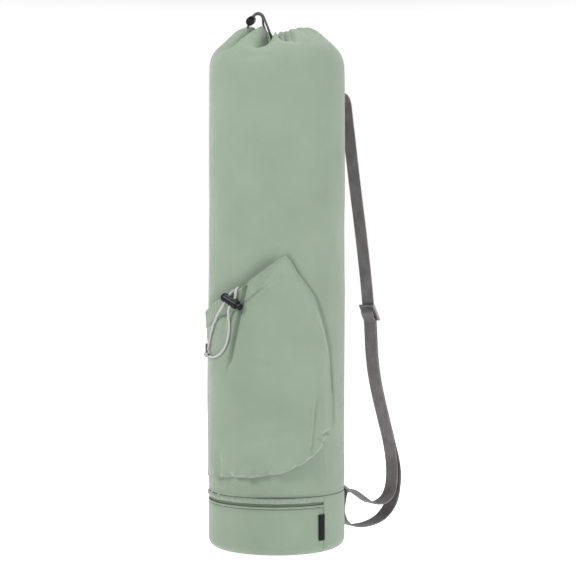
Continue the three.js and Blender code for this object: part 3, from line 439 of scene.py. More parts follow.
# (azimuth, height) of the pocket's mouth
MOUTH_SLANT = [(-84, 0.304), (-60, 0.3176), (-40, 0.330), (-30, 0.336), (-12, 0.362), (5, 0.381)]
DRAGS = [{"azimuth": 33, "lean": 0.16}, {"azimuth": 40, "lean": 0.1}, {"azimuth": 26, "lean": 0.22}]
DRAG = {"height": 0.0010, "width": 2.6, "middle": 0.145, "low": 0.082, "high": 0.165}
POCKET_GROOVE = {"depth": 0.0030, "beside": 0.0022, "width": 0.0030, "low": 0.163, "high": 0.385}
MOUTH_HOLLOW = {"depth": 0.0034, "above": 0.002, "width": 0.011, "left": -84, "right": 5}
NECK_CREASE = {"depth": 0.0011, "z": 0.634, "width": 0.0045, "left": -46, "right": 4}
FOOT_PULL = {"depth": 0.0008, "top": 0.09, "fade": 0.016}
BACK_SEAM = {"depth": 0.0007, "width": 0.0022}


def bell(distance, width):
    """A smooth rise to 1 where the distance is 0, which dies out past the width."""
    return math.exp(-((distance / width) ** 2))


def between(rows, at):
    for (x0, y0), (x1, y1) in zip(rows, rows[1:]):
        if at <= x1:
            return y0 + (y1 - y0) * max(0.0, (at - x0) / (x1 - x0))
    return rows[-1][1]


def slack(azimuth, z):
    """How far the upright cloth lies off a true tube: soft swells, the drag lines by the pocket's corner,
    a hollow above the pocket's mouth, and the grooves where the pocket and the back seam pull it in."""
    at = polar(azimuth, 1.0, z * 5)
    swell = 0.0011 * noise.noise(at * 1.6) + 0.0004 * noise.noise(at * 5)
    drags = 0.0
    for drag in DRAGS:
        centre = drag["azimuth"] + drag["lean"] * (DRAG["middle"] - z) * 1000
        drags += bell((azimuth - centre + 180) % 360 - 180, DRAG["width"])
    drags *= DRAG["height"] * eased((z - DRAG["low"]) / 0.02) * eased((DRAG["high"] - z) / 0.04)
    pull = FOOT_PULL["depth"] * eased((FOOT_PULL["top"] - z) / FOOT_PULL["fade"])
    groove, hollow = POCKET_GROOVE, MOUTH_HOLLOW
    if groove["low"] < z < groove["high"] and 4 < azimuth < 62:
        beside = math.radians(azimuth - between(POCKET_SEAM, z)) * BODY_RADIUS - groove["beside"]
        pull += groove["depth"] * bell(beside, groove["width"]) * eased((groove["high"] - z) / 0.006)
    if hollow["left"] < azimuth < hollow["right"]:
        above = z - between(MOUTH_SLANT, azimuth) - hollow["above"]
        ends = eased((azimuth - hollow["left"]) / 20) * eased((hollow["right"] - azimuth) / 9)
        pull += hollow["depth"] * bell(above, hollow["width"]) * ends
    back = math.radians(180 - abs(azimuth)) * BODY_RADIUS
    return swell + drags - pull - BACK_SEAM["depth"] * bell(back, BACK_SEAM["width"])


def closer_at_front(u):
    return u - 0.058 * math.sin(2 * math.pi * (u - 0.5))


def tube_place(u, v):
    azimuth = 360 * u - 180
    if v < UPRIGHT_SHARE:
        z = between(ROW_HEIGHTS, v / UPRIGHT_SHARE)
        return polar(azimuth, BODY_RADIUS + slack(azimuth, z), z)
    row = (v - UPRIGHT_SHARE) / (1 - UPRIGHT_SHARE) * (len(CROWN_PROFILE) - 1)
    place = crown_place(azimuth, row)
    outwards = polar(azimuth, 1.0, 0.0)
    crease = NECK_CREASE["depth"] * bell(place.z - NECK_CREASE["z"], NECK_CREASE["width"])
    crease *= eased((azimuth - NECK_CREASE["left"]) / 14) * eased((NECK_CREASE["right"] - azimuth) / 12)
    return place + outwards * (slack(azimuth, SHOULDER_Z) * max(0.0, 1 - row / 5) - crease)


def tube_run(u, v):
    if v < UPRIGHT_SHARE:
        return between(ROW_HEIGHTS, v / UPRIGHT_SHARE)
    return SHOULDER_Z + CROWN_RUN * (v - UPRIGHT_SHARE) / (1 - UPRIGHT_SHARE)


def woven(name, light, dark, thread, roughness=0.7, relief=0.00006):
    """Plain-woven cloth: threads that cross over and under, with soft mottling and fine slubs, and painted
    shade where the threads dip under.
    """
    material = new_material(name, Roughness=roughness, Sheen_Weight=0.25, Sheen_Roughness=0.5,
                            Specular_IOR_Level=0.35)
    uv = add_node(material, "UVMap", uv_map="cloth").outputs[0]
    split = add_node(material, "SeparateXYZ", {0: uv})
    waves = [sine_of(material, split.outputs[way], math.pi / thread) for way in (0, 1)]
    weave = add_node(material, "Math", {0: waves[0], 1: waves[1]}, operation="MULTIPLY").outputs[0]
    place = add_node(material, "TexCoord").outputs["Object"]
    mottling = {"Vector": place, "Scale": 14.0, "Detail": 4.0, "Roughness": 0.55}
    cloud = add_node(material, "TexNoise", mottling).outputs[0]
    slub = add_node(material, "TexNoise", {"Vector": uv, "Scale": 900.0, "Detail": 2.0}).outputs[0]
    mixed = add_node(material, "Math", {0: slub, 1: 0.35, 2: cloud}, operation="MULTIPLY_ADD").outputs[0]
    # The weave term is painted shade: darker where the threads dip under, lighter where they cross over; the
    # mottling and slubs are the cloth's random tone.
    threads = add_node(material, "Math", {0: weave, 1: 0.06, 2: mixed}, operation="MULTIPLY_ADD").outputs[0]
    share = add_node(material, "MapRange", {0: threads, 1: 0.35, 2: 1.0}).outputs[0]
    height = add_node(material, "Math", {0: slub, 1: 0.8, 2: weave}, operation="MULTIPLY_ADD").outputs[0]
    wear(material, Base_Color=graded(material, share, dark, light),
         Normal=relief_of(material, height, 0.55, relief))
    return material


def as_wall(piece, thickness=CLOTH):
    """Gives a sheet its thickness, inwards from the face that it shows."""
    wall = piece.modifiers.new("wall", "SOLIDIFY")
    wall.thickness = thickness
    wall.offset = -1
    return piece


def finish_piece(piece, slot, *nodes, body="bag"):
    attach(piece, body)
    if nodes:
        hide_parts(*nodes)
    return piece


sage_cloth = woven("sage_cloth", (0.164, 0.212, 0.156), (0.130, 0.170, 0.124), 0.00042)
tube_size = (2 * math.pi * BODY_RADIUS, 1)
tube_cloth = sheet_mesh(250, 188, tube_place, tube_size, wrap=True, spread=closer_at_front, run=tube_run)
tube = object_from("tube", tube_cloth, sage_cloth)
finish_piece(as_wall(tube), "cloth", "main_tube")

STITCH = (0.0022, 0.00050, 0.00040)  # length, width, height
STITCH_PITCH = 0.0030
STITCH_LIFT = 0.0003
BACK_STITCHES = 1.6
thread = new_material("sage_thread", Roughness=0.5, Sheen_Weight=0.3)
thread_lay = add_node(thread, "TexWave", {"Scale": 900.0, "Distortion": 1.5})
wear(thread, Base_Color=graded(thread, thread_lay.outputs["Fac"], (0.14, 0.175, 0.132), (0.225, 0.27, 0.21)))


def beads_along(name, runs, material, size, pitch, slot):
    """Small rounded beads in rows, such as stitches or zip teeth, from runs of (point, outward way)."""
    bm = bmesh.new()
    for run in runs:
        left = 0.0
        for (a, _), (b, out) in zip(run, run[1:]):
            left -= (b - a).length
            if left > 0:
                continue
            left += pitch
            along = (b - a).normalized()
            side = out.cross(along).normalized()
            turned = Matrix((along, side, along.cross(side))).transposed().to_4x4()
            matrix = Matrix.Translation(b) @ turned @ Matrix.Diagonal((*(d / 2 for d in size), 1))
            bmesh.ops.create_icosphere(bm, subdivisions=1, radius=1, matrix=matrix)
    return finish_piece(object_from(name, bm, material), slot)


def on_the_tube(azimuth, z):
    return polar(azimuth, BODY_RADIUS + STITCH_LIFT + slack(azimuth, z), z), polar(azimuth, 1.0, 0.0)


back_seam = []
for seam_azimuth in (180 - BACK_STITCHES, 180 + BACK_STITCHES):
    back_seam.append([on_the_tube(seam_azimuth, 0.078 + 0.0005 * i) for i in range(1050)])
beads_along("back_seam_stitches", back_seam, thread, STITCH, STITCH_PITCH, "cloth")
foot_seam = [[on_the_tube(0.25 * i, 0.0775) for i in range(1441)]]
beads_along("tube_foot_stitches", foot_seam, thread, STITCH, STITCH_PITCH, "cloth")


# The base compartment: a flat round bottom, a front panel under the zip and a back panel up to the
# tube's seam, all of the same sage cloth, sewn inside out and turned, with a floor under the mat.
SEAM_GAP = 0.0004
BASE_ROUND = 0.011
PANEL_TOP_Z = 0.0600
BASE_TOP_Z = 0.0738
BOTTOM_RADIUS = BODY_RADIUS - BASE_ROUND - 2 * SEAM_GAP
ZIP_START = -150
ZIP_END = 42
HALF_SEAM_TURN = math.degrees(SEAM_GAP / BODY_RADIUS) / 2
DIVIDER_Z = TUBE_BASE_Z


def base_wall(name, start, end, top, columns):
    """A base panel whose lower edge rounds under to the bottom, and whose cut edges pull in a little."""
    low = SEAM_GAP + BASE_ROUND
    turned = BASE_ROUND * math.pi / 2
    length = turned + top - low

    def place(u, v):
        azimuth = start + (end - start) * u
        run = v * length
        swell = 0.0012 * noise.noise(polar(azimuth, 1.0, run * 8) * 1.7)
        if run < turned:
            angle = run / BASE_ROUND
            radius = BODY_RADIUS - BASE_ROUND + BASE_ROUND * math.sin(angle)
            z = low - BASE_ROUND * math.cos(angle)
            return polar(azimuth, radius + swell * run / turned, z)
        z = low + run - turned
        edge = bell(top - z, 0.003) + 0.8 * bell(min(u, 1 - u) * (end - start), 1.6)
        return polar(azimuth, BODY_RADIUS + swell - 0.0007 * edge, z)

    size = (math.radians(end - start) * BODY_RADIUS, length)
    return object_from(name, sheet_mesh(columns, 44, place, size), sage_cloth)


def cloth_disc(name, radius, low, crown):
    """A round floor of cloth, a little slack at its middle."""
    bm = bmesh.new()
    bmesh.ops.create_circle(bm, cap_ends=True, segments=128, radius=radius)
    for share in (0.97, 0.9, 0.75, 0.55, 0.35, 0.15):
        inner = [f for f in bm.faces if len(f.verts) > 4]
        ring = bmesh.ops.inset_individual(bm, faces=inner, thickness=0.0001)
        centre = [f for f in bm.faces if len(f.verts) > 4][0]
        for vert in centre.verts:
            vert.co = Vector((vert.co.x, vert.co.y, 0)).normalized() * radius * share
            vert.co.z = crown * (1 - share ** 2)
    uv = bm.loops.layers.uv.new("cloth")
    for face in bm.faces:
        for loop in face.loops:
            loop[uv].uv = loop.vert.co.xy
    bmesh.ops.translate(bm, verts=bm.verts, vec=(0, 0, low + CLOTH))
    return object_from(name, bm, sage_cloth)


front_left, front_right = ZIP_START + HALF_SEAM_TURN, ZIP_END - HALF_SEAM_TURN
back_right, back_left = ZIP_END + HALF_SEAM_TURN, 360 + ZIP_START - HALF_SEAM_TURN
front_panel = base_wall("base_front", front_left, front_right, PANEL_TOP_Z, 190)
finish_piece(as_wall(front_panel), "cloth", "base_front_panel")
back_panel = base_wall("base_back", back_right, back_left, BASE_TOP_Z, 170)
finish_piece(as_wall(back_panel), "cloth", "base_back_panel")
bottom = cloth_disc("bottom_disc", BOTTOM_RADIUS, 0.0, 0.0)
finish_piece(as_wall(bottom), "cloth", "base_bottom")
divider = cloth_disc("mat_floor", BODY_RADIUS - CLOTH - SEAM_GAP, DIVIDER_Z, 0.0006)
finish_piece(as_wall(divider), "cloth", "divider_floor")


# The zip that opens the base's front: a padded welt above, a narrow welt below and between them
# the back of a coil zip, whose two tapes meet over the hidden teeth, with its slider at the back.
TOP_WELT = (0.0668, 0.0738)
CHAIN = (0.0634, 0.0664)
LOW_WELT = (0.0604, 0.0630)
CHAIN_RADIUS = 0.0888
WELT_PUCKER = 0.0099


def band(name, low, high, radius, puff, pucker, material, rows=10):
    """A narrow band of cloth round the base that puffs out between its seams and puckers at each stitch."""

    def place(u, v):
        azimuth = front_left + (front_right - front_left) * u
        arch = math.sin(math.pi * v)
        stitch = math.sin(2 * math.pi * azimuth / math.degrees(WELT_PUCKER / BODY_RADIUS))
        wander = noise.noise(polar(azimuth, 1.0, v * 0.2) * 11)
        out = puff * arch + pucker * (0.35 * stitch + 0.65 * wander) * arch
        return polar(azimuth, radius + out, low + (high - low) * v + pucker * 0.5 * wander * arch)

    size = (math.radians(front_right - front_left) * radius, high - low)
    return object_from(name, sheet_mesh(560, rows, place, size), material)


top_welt = band("zip_welt_above", *TOP_WELT, BODY_RADIUS, 0.0012, 0.0015, sage_cloth)
finish_piece(as_wall(top_welt, 0.0012), "zip_cloth", "zip_top_welt")
low_welt = band("zip_welt_below", *LOW_WELT, BODY_RADIUS, 0.0006, 0.0003, sage_cloth, rows=6)
finish_piece(as_wall(low_welt, 0.0012), "zip_cloth", "zip_low_welt")
zip_tape = woven("zip_tape", (0.085, 0.108, 0.080), (0.050, 0.066, 0.047), 0.0006)
chain = band("zip_tape_and_coil", *CHAIN, CHAIN_RADIUS, -0.0006, 0.0001, zip_tape, rows=6)
finish_piece(as_wall(chain, 0.0012), "zip_coil", "zip_chain")
TOOTH = (0.0009, 0.0010, 0.0006)
TOOTH_PITCH = 0.00125
TOOTH_ROWS = (0.06435, 0.06545)
WELT_STITCHES = [(0.0673, 0.0003), (0.0584, 0.0002)]  # (height, lift off the cloth)
coil = new_material("zip_coil", Roughness=0.35, Coat_Weight=0.3)
coil_tint = add_node(coil, "TexNoise", {"Scale": 300.0, "Detail": 2.0})
wear(coil, Base_Color=graded(coil, coil_tint.outputs[0], (0.10, 0.13, 0.095), (0.17, 0.21, 0.16)))


def round_the_base(radius, z, start, step, count):
    """A level run round the base, as points with their outward ways."""
    turns = [start + step * i for i in range(count)]
    return [(polar(turn, radius, z), polar(turn, 1.0, 0.0)) for turn in turns]


teeth = [round_the_base(CHAIN_RADIUS - 0.0005, tooth_z, ZIP_START + 1, 0.08, 2375) for tooth_z in TOOTH_ROWS]
beads_along("zip_teeth", teeth, coil, TOOTH, TOOTH_PITCH, "zip_coil")
welt_stitches = [round_the_base(BODY_RADIUS + lift, z, ZIP_START + 1, 0.25, 4 * (ZIP_END - ZIP_START - 2))
                 for z, lift in WELT_STITCHES]
beads_along("welt_stitches", welt_stitches, thread, STITCH, STITCH_PITCH, "cloth")


# The zip's slider with its pull, at the far left end of the zip: cast zinc, painted to match the
# cloth. The body bridges the two tapes and the flat pull hangs from its crown.
SLIDER_BODY = {"out": (0.0016, 0.0046), "along": (0.0, 0.012), "height": 0.008}
SLIDER_PULL = {"out": (0.0042, 0.0056), "along": (0.006, 0.030), "height": 0.0055}
painted = new_material("painted_zinc", Base_Color=(0.15, 0.19, 0.14, 1), Metallic=0.4, Roughness=0.4)
painted_grain = add_node(painted, "TexNoise", {"Scale": 900.0, "Detail": 3.0})
wear(painted, Normal=relief_of(painted, painted_grain.outputs[0], 0.2, 0.00005))


def bevelled_block(bm, low, high, round_by, steps=3):
    """A block between two corners with every edge rounded."""
    made = bmesh.ops.create_cube(bm, size=1)["verts"]
    for vert in made:
        vert.co = [low[i] + (vert.co[i] + 0.5) * (high[i] - low[i]) for i in range(3)]
    edges = list({edge for vert in made for edge in vert.link_edges})
    bmesh.ops.bevel(bm, geom=edges, offset=round_by, segments=steps, profile=0.5, affect="EDGES", material=-1)


zip_mesh = bmesh.new()
for lump, round_by in ((SLIDER_BODY, 0.0012), (SLIDER_PULL, 0.0006)):
    low = (lump["along"][0], lump["out"][0], -lump["height"] / 2)
    high = (lump["along"][1], lump["out"][1], lump["height"] / 2)
    bevelled_block(zip_mesh, low, high, round_by)
zip_turn = ZIP_START + HALF_SEAM_TURN
zip_ways = (polar(zip_turn + 90, 1.0, 0.0), polar(zip_turn, 1.0, 0.0), (0, 0, 1))
zip_frame = Matrix(zip_ways).transposed().to_4x4()
zip_mesh.transform(Matrix.Translation(polar(zip_turn, CHAIN_RADIUS, sum(CHAIN) / 2)) @ zip_frame)
zip_pull = object_from("zip_slider_and_pull", zip_mesh, painted)
finish_piece(zip_pull, "zip_metal", "zip_slider")


# The side tag: a short black woven ribbon folded in two, its ends caught in the base's upright seam.
TAG_HEIGHT = 0.033
TAG_REACH = 0.0080
TAG_PLY = 0.0008
TAG_AT = polar(ZIP_END, BODY_RADIUS, 0.0345)
tag_weave = woven("black_tag_weave", (0.006, 0.006, 0.007), (0.002, 0.002, 0.002), 0.0005, 0.6)
tag_shader = tag_weave.node_tree.nodes["Principled BSDF"]
tag_shader.inputs["Specular IOR Level"].default_value = 0.1
tag_shader.inputs["Sheen Weight"].default_value = 0.0


def tag_place(along, out):
    return TAG_AT + polar(ZIP_END - 90, along, 0.0) + polar(ZIP_END, out, 0.0)


TAG_INNER, TAG_OUTER, TAG_STEPS = 0.0008, 0.0020, 8
TAG_TURN = (TAG_OUTER - TAG_INNER) / 2
tag_inner, tag_turn, tag_outer = [], [], []
for i in range(TAG_STEPS + 1):
    share = i / TAG_STEPS
    arch, lean = math.sin(math.pi * share), math.cos(math.pi * share)
    tag_inner.append(tag_place(TAG_REACH * share, TAG_INNER + 0.0003 * arch))
    tag_turn.append(tag_place(TAG_REACH + TAG_TURN * arch, TAG_INNER + TAG_TURN * (1 - lean)))
    tag_outer.append(tag_place(TAG_REACH * (1 - share), TAG_OUTER + 0.0005 * arch))
tag_line = [*tag_inner, *tag_turn[1:-1], *tag_outer]
tag_frames = []
for i, at in enumerate(tag_line):
    way = (tag_line[min(i + 1, len(tag_line) - 1)] - tag_line[max(i - 1, 0)]).normalized()
    tag_frames.append((at, Vector((0, 0, 1)), way.cross(Vector((0, 0, 1)))))


def tag_section(turn, share):
    across, rise = math.cos(2 * math.pi * turn), math.sin(2 * math.pi * turn)
    return across * TAG_HEIGHT / 2, math.copysign(min(abs(rise) * 8, 1.0) ** 0.5 * TAG_PLY / 2, rise)


side_tag = object_from("side_tag", swept_mesh(tag_frames, 48, tag_section, 2 * TAG_HEIGHT), tag_weave)
finish_piece(side_tag, "tag_weave", "woven_tag")


# The bottle pocket: one slack panel of the same cloth, sewn to the tube along its left, its foot and
# its long curved right edge. Its slanted mouth is a stitched channel that the elastic cord gathers.
POCKET_LEFT = -84
POCKET_RIGHT = 52
POCKET_BASE_Z = 0.090
POCKET_PEAK_Z = 0.381
POCKET_BELLY = 0.0095
POCKET_HEM = 0.022
POCKET_ROLL = 0.015
POCKET_FOLD = 0.004
POCKET_PEAK = 0.671
MOUTH_CORNER = 0.23
POCKET_CROWDING = 1.25
POCKET_TOP_EDGE = [  # (share across, share up), as in the tables below it
    (0, 0.735), (0.103, 0.758), (0.234, 0.801), (0.392, 0.842), (0.465, 0.886), (0.642, 0.99),
    (0.671, 1.0), (0.7, 0.978), (0.741, 0.925), (0.806, 0.866), (0.854, 0.818), (0.899, 0.745),
    (0.932, 0.682), (0.968, 0.6), (0.986, 0.49), (1, 0.4),
]
POCKET_LOW_EDGE = [
    (0, 0.01), (0.162, 0.022), (0.504, 0.038), (0.644, 0.055), (0.775, 0.094), (0.857, 0.132),
    (0.915, 0.161), (0.955, 0.192), (1, 0.25),
]
POCKET_SLACK = [(0, 0.15), (0.08, 0.25), (0.19, 0.65), (0.4, 1), (0.65, 1), (0.83, 0.8), (1, 0.6)]
POCKET_RISE = [(0, 0.95), (0.1, 1), (0.45, 0.7), (0.8, 0.85), (1, 0.75)]
POCKET_CREASES = [
    {"across": 0.452, "drift": -0.3, "width": 0.016, "depth": 1.7, "start": 0.56, "end": 1.1},
    {"across": 0.33, "drift": -0.15, "width": 0.016, "depth": 0.6, "start": 0.75, "end": 1.1},
    {"across": 0.53, "drift": 0.05, "width": 0.03, "depth": 0.35, "start": 0.7, "end": 1.1},
    {"across": 0.07, "drift": 0.0, "width": 0.05, "depth": -1.0, "start": 0.74, "end": 1.1},
    {"across": 0.22, "drift": 0.05, "width": 0.03, "depth": 0.55, "start": -0.1, "end": 0.2},
    {"across": 0.88, "drift": -0.02, "width": 0.03, "depth": 0.55, "start": -0.1, "end": 0.45},
    {"across": 0.93, "drift": -0.12, "width": 0.012, "depth": 0.5, "start": -0.1, "end": 0.4},
]
POCKET_SAG = {"depth": 0.0044, "above": 0.0070, "width": 0.0045, "droop": 0.9}
POCKET_PUCKERS = [
    {"across": 0.94, "z": 0.1552, "tilt": 0.02, "depth": 0.0036, "width": 0.0028, "reach": 0.05},
    {"across": 0.9, "z": 0.146, "tilt": -0.09, "depth": 0.0028, "width": 0.0022, "reach": 0.06},
    {"across": 0.62, "z": 0.176, "tilt": 0.02, "depth": 0.0011, "width": 0.005, "reach": 0.22},
    {"across": 0.55, "z": 0.150, "tilt": 0.045, "depth": 0.0011, "width": 0.005, "reach": 0.22},
    {"across": 0.5, "z": 0.245, "tilt": -0.02, "depth": 0.0011, "width": 0.005, "reach": 0.22},
    {"across": 0.72, "z": 0.132, "tilt": 0.06, "depth": 0.0011, "width": 0.005, "reach": 0.22},
]
POCKET_WIDTH = math.radians(POCKET_RIGHT - POCKET_LEFT) * BODY_RADIUS


def pocket_edges(across):
    def edge(rows):
        return POCKET_BASE_Z + (POCKET_PEAK_Z - POCKET_BASE_Z) * between(rows, across)

    return edge(POCKET_LOW_EDGE), edge(POCKET_TOP_EDGE)


def mouth_share(across):
    return eased((POCKET_PEAK - across) / MOUTH_CORNER)


def pocket_stand_off(across, z):
    low, top = pocket_edges(across)
    up = (z - low) / (top - low)
    top_free = max(mouth_share(across), eased((top - z) / (2 * POCKET_ROLL)))
    rise = POCKET_WIDTH / (2 * POCKET_ROLL)
    seams = eased(across * rise) * eased((1 - across) * rise)
    full = between(POCKET_SLACK, across) * between(POCKET_RISE, up)
    crease = 0.0
    for fold in POCKET_CREASES:
        centre = fold["across"] + fold["drift"] * (1 - up)
        ends = eased((up - fold["start"]) / 0.12) * eased((fold["end"] - up) / 0.12)
        crease += fold["depth"] * ends * bell(across - centre, fold["width"])
    free = top_free * seams * eased((z - low) / POCKET_ROLL)
    return free * max(0.0, POCKET_BELLY * full - POCKET_FOLD * crease)


def crowded(u):
    return 1 - (1 - u) ** POCKET_CROWDING


def hem_lift(across, hem_depth):
    """How far the mouth's hem stands out: the folded cloth, its stitch line, its gathers, and the rim."""
    folded = 0.0010 * eased((POCKET_HEM - hem_depth) / 0.002)
    stitched = 0.0012 * bell(hem_depth - POCKET_HEM, 0.0014)
    gathers = 0.0005 * math.sin(across * 190 + 2 * noise.noise(Vector((across * 9, 0, 0))))
    gathers *= eased((POCKET_HEM + 0.012 - hem_depth) / 0.014)
    return mouth_share(across) * (folded - stitched + gathers) + 0.0009 * bell(hem_depth - 0.0015, 0.0018)


def foot_sag(across, above_foot):
    """How far the slack cloth bags out over the foot's seam, in uneven swags."""
    sag = POCKET_SAG["depth"] * bell(above_foot - POCKET_SAG["above"], POCKET_SAG["width"])
    sag *= eased((across - 0.08) / 0.15) * eased((0.95 - across) / 0.2)
    return sag * (1 + 0.3 * math.sin(across * 31) + 0.25 * math.sin(across * 83 + 1))


def pocket_place(across, v):
    low, top = pocket_edges(across)
    z = low + v * (top - low)
    puckers = 0.0
    for pucker in POCKET_PUCKERS:
        aside = across - pucker["across"]
        above = z - pucker["z"] - pucker["tilt"] * aside
        puckers += pucker["depth"] * bell(above, pucker["width"]) * bell(aside, pucker["reach"])
    azimuth = POCKET_LEFT + across * (POCKET_RIGHT - POCKET_LEFT)
    swell = 0.0009 * noise.noise(polar(azimuth, 1.0, z * 6) * 2.1)
    swell *= eased((z - low) / 0.02) * eased((top - z) / 0.02)
    sag = foot_sag(across, z - low)
    radius = BODY_RADIUS + SEAM_GAP + CLOTH + pocket_stand_off(across, z) + hem_lift(across, top - z)
    return polar(azimuth, radius + sag - puckers + swell, z - POCKET_SAG["droop"] * sag)


def pocket_run(across, v):
    low, top = pocket_edges(across)
    return low + v * (top - low)


pocket_cloth = sheet_mesh(230, 196, pocket_place, (POCKET_WIDTH, 1), spread=crowded, run=pocket_run)
pocket = object_from("pocket", pocket_cloth, sage_cloth)
finish_piece(as_wall(pocket), "cloth", "pocket_panel")
EDGE_INSET = 0.0032
HEM_STITCHES = POCKET_HEM - 0.0012


def on_the_pocket(across, above_foot=None, below_top=None):
    """A point on the pocket at that share across, measured up from its foot or down from its top."""
    low, top = pocket_edges(across)
    v = above_foot / (top - low) if above_foot is not None else 1 - below_top / (top - low)
    turn = POCKET_LEFT + across * (POCKET_RIGHT - POCKET_LEFT)
    return pocket_place(across, v) + polar(turn, 0.0001, 0.0), polar(turn, 1.0, 0.0)


hem_run = [on_the_pocket(0.03 + 0.001 * i, below_top=HEM_STITCHES) for i in range(625)]
foot_run = [on_the_pocket(0.02 + 0.001 * i, above_foot=EDGE_INSET) for i in range(955)]
edge_run = [on_the_pocket(0.68 + 0.0005 * i, below_top=EDGE_INSET) for i in range(600)]
beads_along("pocket_stitches", [hem_run, foot_run, edge_run], thread, STITCH, STITCH_PITCH, "cloth")


# The shoulder strap: one length of grey ribbed webbing, sewn flat to the tube near its top. It runs
# down through the slider, round the ring at the base and back up to the slider's middle bar.
WEBBING = 0.0016
WEBBING_WIDTH = 0.025
WEBBING_GAP = 0.0004
WEBBING_SIDES = 72
STRAP_AZIMUTH = 125
STRAP_REACH = 0.095
STRAP_TOP_Z = 0.6055
STRAP_SEWN_Z = 0.558
STRAP_LIFT_Z = 0.588
SLIDER_BAR = 0.0032
SLIDER_PITCH = 0.0105
SLIDER_TILT = 26
RING_WIRE = 0.0036
RING_HEIGHT = 0.0175
RING_DROOP = 37
TAB_REACH = 0.008
TAB_DROP = 0.0015
WEBBING_PITCH = ((0, 0.0011), (1, 0.0008))  # (across or along, ribs or weft)
STRAP_TOP = [(0.04, 0.985), (0.15, 1.0), (0.25, 0.985), (0.3, 0.94), (0.43, 0.8), (0.54, 0.69), (0.63, 0.59)]
SLIDER_AT = (0.705, 0.505)
STRAP_INNER = [
    (0.722, 0.45), (0.742, 0.405), (0.79, 0.355), (0.87, 0.305), (0.965, 0.255), (1.06, 0.205), (1.12, 0.155),
    (1.12, 0.11), (1.05, 0.08), (0.9, 0.066), (0.72, 0.067), (0.54, 0.084), (0.375, 0.101),
]
PARTING = 6
STRAP_RETURN = [
    (0.16, 0.075), (0.15, 0.057), (0.2, 0.037), (0.33, 0.022), (0.53, 0.018), (0.75, 0.022), (0.95, 0.035),
    (1.12, 0.065), (1.19, 0.11), (1.175, 0.155),
]
PLY_STEP = WEBBING + WEBBING_GAP
BAR_WRAP = SLIDER_BAR / 2 + WEBBING_GAP + WEBBING / 2
RING_WRAP = RING_WIRE / 2 + WEBBING_GAP + WEBBING / 2
RING_INNER_BAR = Vector((BODY_RADIUS + TAB_REACH, BASE_TOP_Z + SEAM_GAP / 2 - TAB_DROP))
RING_OUTER_BAR = RING_INNER_BAR + Matrix.Rotation(-math.radians(RING_DROOP), 2) @ Vector((RING_HEIGHT, 0))


def strap_place(out, up):
    return Vector((BODY_RADIUS + out * STRAP_REACH, up * STRAP_TOP_Z))


def slider_place(point):
    return Matrix.Rotation(math.radians(SLIDER_TILT), 2) @ Vector(point) + strap_place(*SLIDER_AT)


def arc(centre, radius, start, end, count):
    turns = [math.radians(start + (end - start) * i / count) for i in range(count + 1)]
    return [Vector(centre) + radius * Vector((math.cos(turn), math.sin(turn))) for turn in turns]


def crossing(first, second):
    return math.degrees(math.acos((first + second) / SLIDER_PITCH))


def flat_line(points, step=0.004):
    return [p.xy for p in even_line([Vector((*p, 0)) for p in points], step)]


def offset_line(line, distance):
    made = []
    for i, point in enumerate(line):
        along = (line[min(i + 1, len(line) - 1)] - line[max(i - 1, 0)]).normalized()
        made.append(point + distance * Vector((-along.y, along.x)))
    return made


def strap_line():
    sewn = BODY_RADIUS + SEAM_GAP + WEBBING / 2
    top_bar, middle_bar, low_bar = (0, SLIDER_PITCH), (0, 0), (0, -SLIDER_PITCH)
    over = BAR_WRAP + PLY_STEP
    inwards, outwards = crossing(BAR_WRAP, over), crossing(BAR_WRAP, BAR_WRAP)
    over_top = arc(top_bar, BAR_WRAP, 15, inwards - 90, 10) + arc(middle_bar, over, inwards + 90, 180, 8)
    under_low = arc(low_bar, BAR_WRAP, 180, 90 + outwards, 6)
    round_middle = arc(middle_bar, BAR_WRAP, outwards - 90, 240, 20)
    through = [slider_place(p) for p in over_top]
    fixed = [slider_place(p) for p in under_low + round_middle]
    lifting = [Vector((sewn, STRAP_LIFT_Z)), *[strap_place(*p) for p in STRAP_TOP], through[0]]
    top = [Vector((sewn, STRAP_SEWN_Z)), *flat_line(lifting)]
    parting = strap_place(*STRAP_INNER[PARTING - 1])
    wrap = arc(RING_OUTER_BAR, RING_WRAP, 75, 178, 10)
    downwards = [strap_place(*p) for p in STRAP_INNER]
    inner = flat_line([slider_place((-over, -SLIDER_PITCH)), *downwards, wrap[0]])
    outer = offset_line([p for p in inner if p.y > parting.y], PLY_STEP)[::-1]
    back = flat_line([wrap[-1], *[strap_place(*p) for p in STRAP_RETURN], outer[0]])
    return [*top, *through[1:], *inner, *wrap[1:], *back[1:], *outer[1:], *fixed[1:]]


def in_strap_plane(point, across=0.0):
    return polar(STRAP_AZIMUTH, point.x, point.y) + polar(STRAP_AZIMUTH - 90, across, 0.0)


def webbing_frames(line):
    """The strap's line in its upright plane, with the webbing's width level across it."""
    across = polar(STRAP_AZIMUTH - 90, 1.0, 0.0)
    frames = []
    for i, point in enumerate(line):
        flat = (line[min(i + 1, len(line) - 1)] - line[max(i - 1, 0)]).normalized()
        along = in_strap_plane(flat)
        frames.append((in_strap_plane(point), across, along.cross(across)))
    return frames


def webbing_section(turn, share):
    """A flat band with rounded selvedges and fine ribs that run along it."""
    angle = 2 * math.pi * turn
    across, rise = math.cos(angle), math.sin(angle)
    flat = min(abs(rise) * 6, 1.0) ** 0.5
    ribs = 0.00012 * math.cos(across * math.pi * 11) * (abs(across) < 0.93)
    return across * WEBBING_WIDTH / 2, math.copysign(flat * (WEBBING / 2 - 0.0001) + ribs * flat, rise)


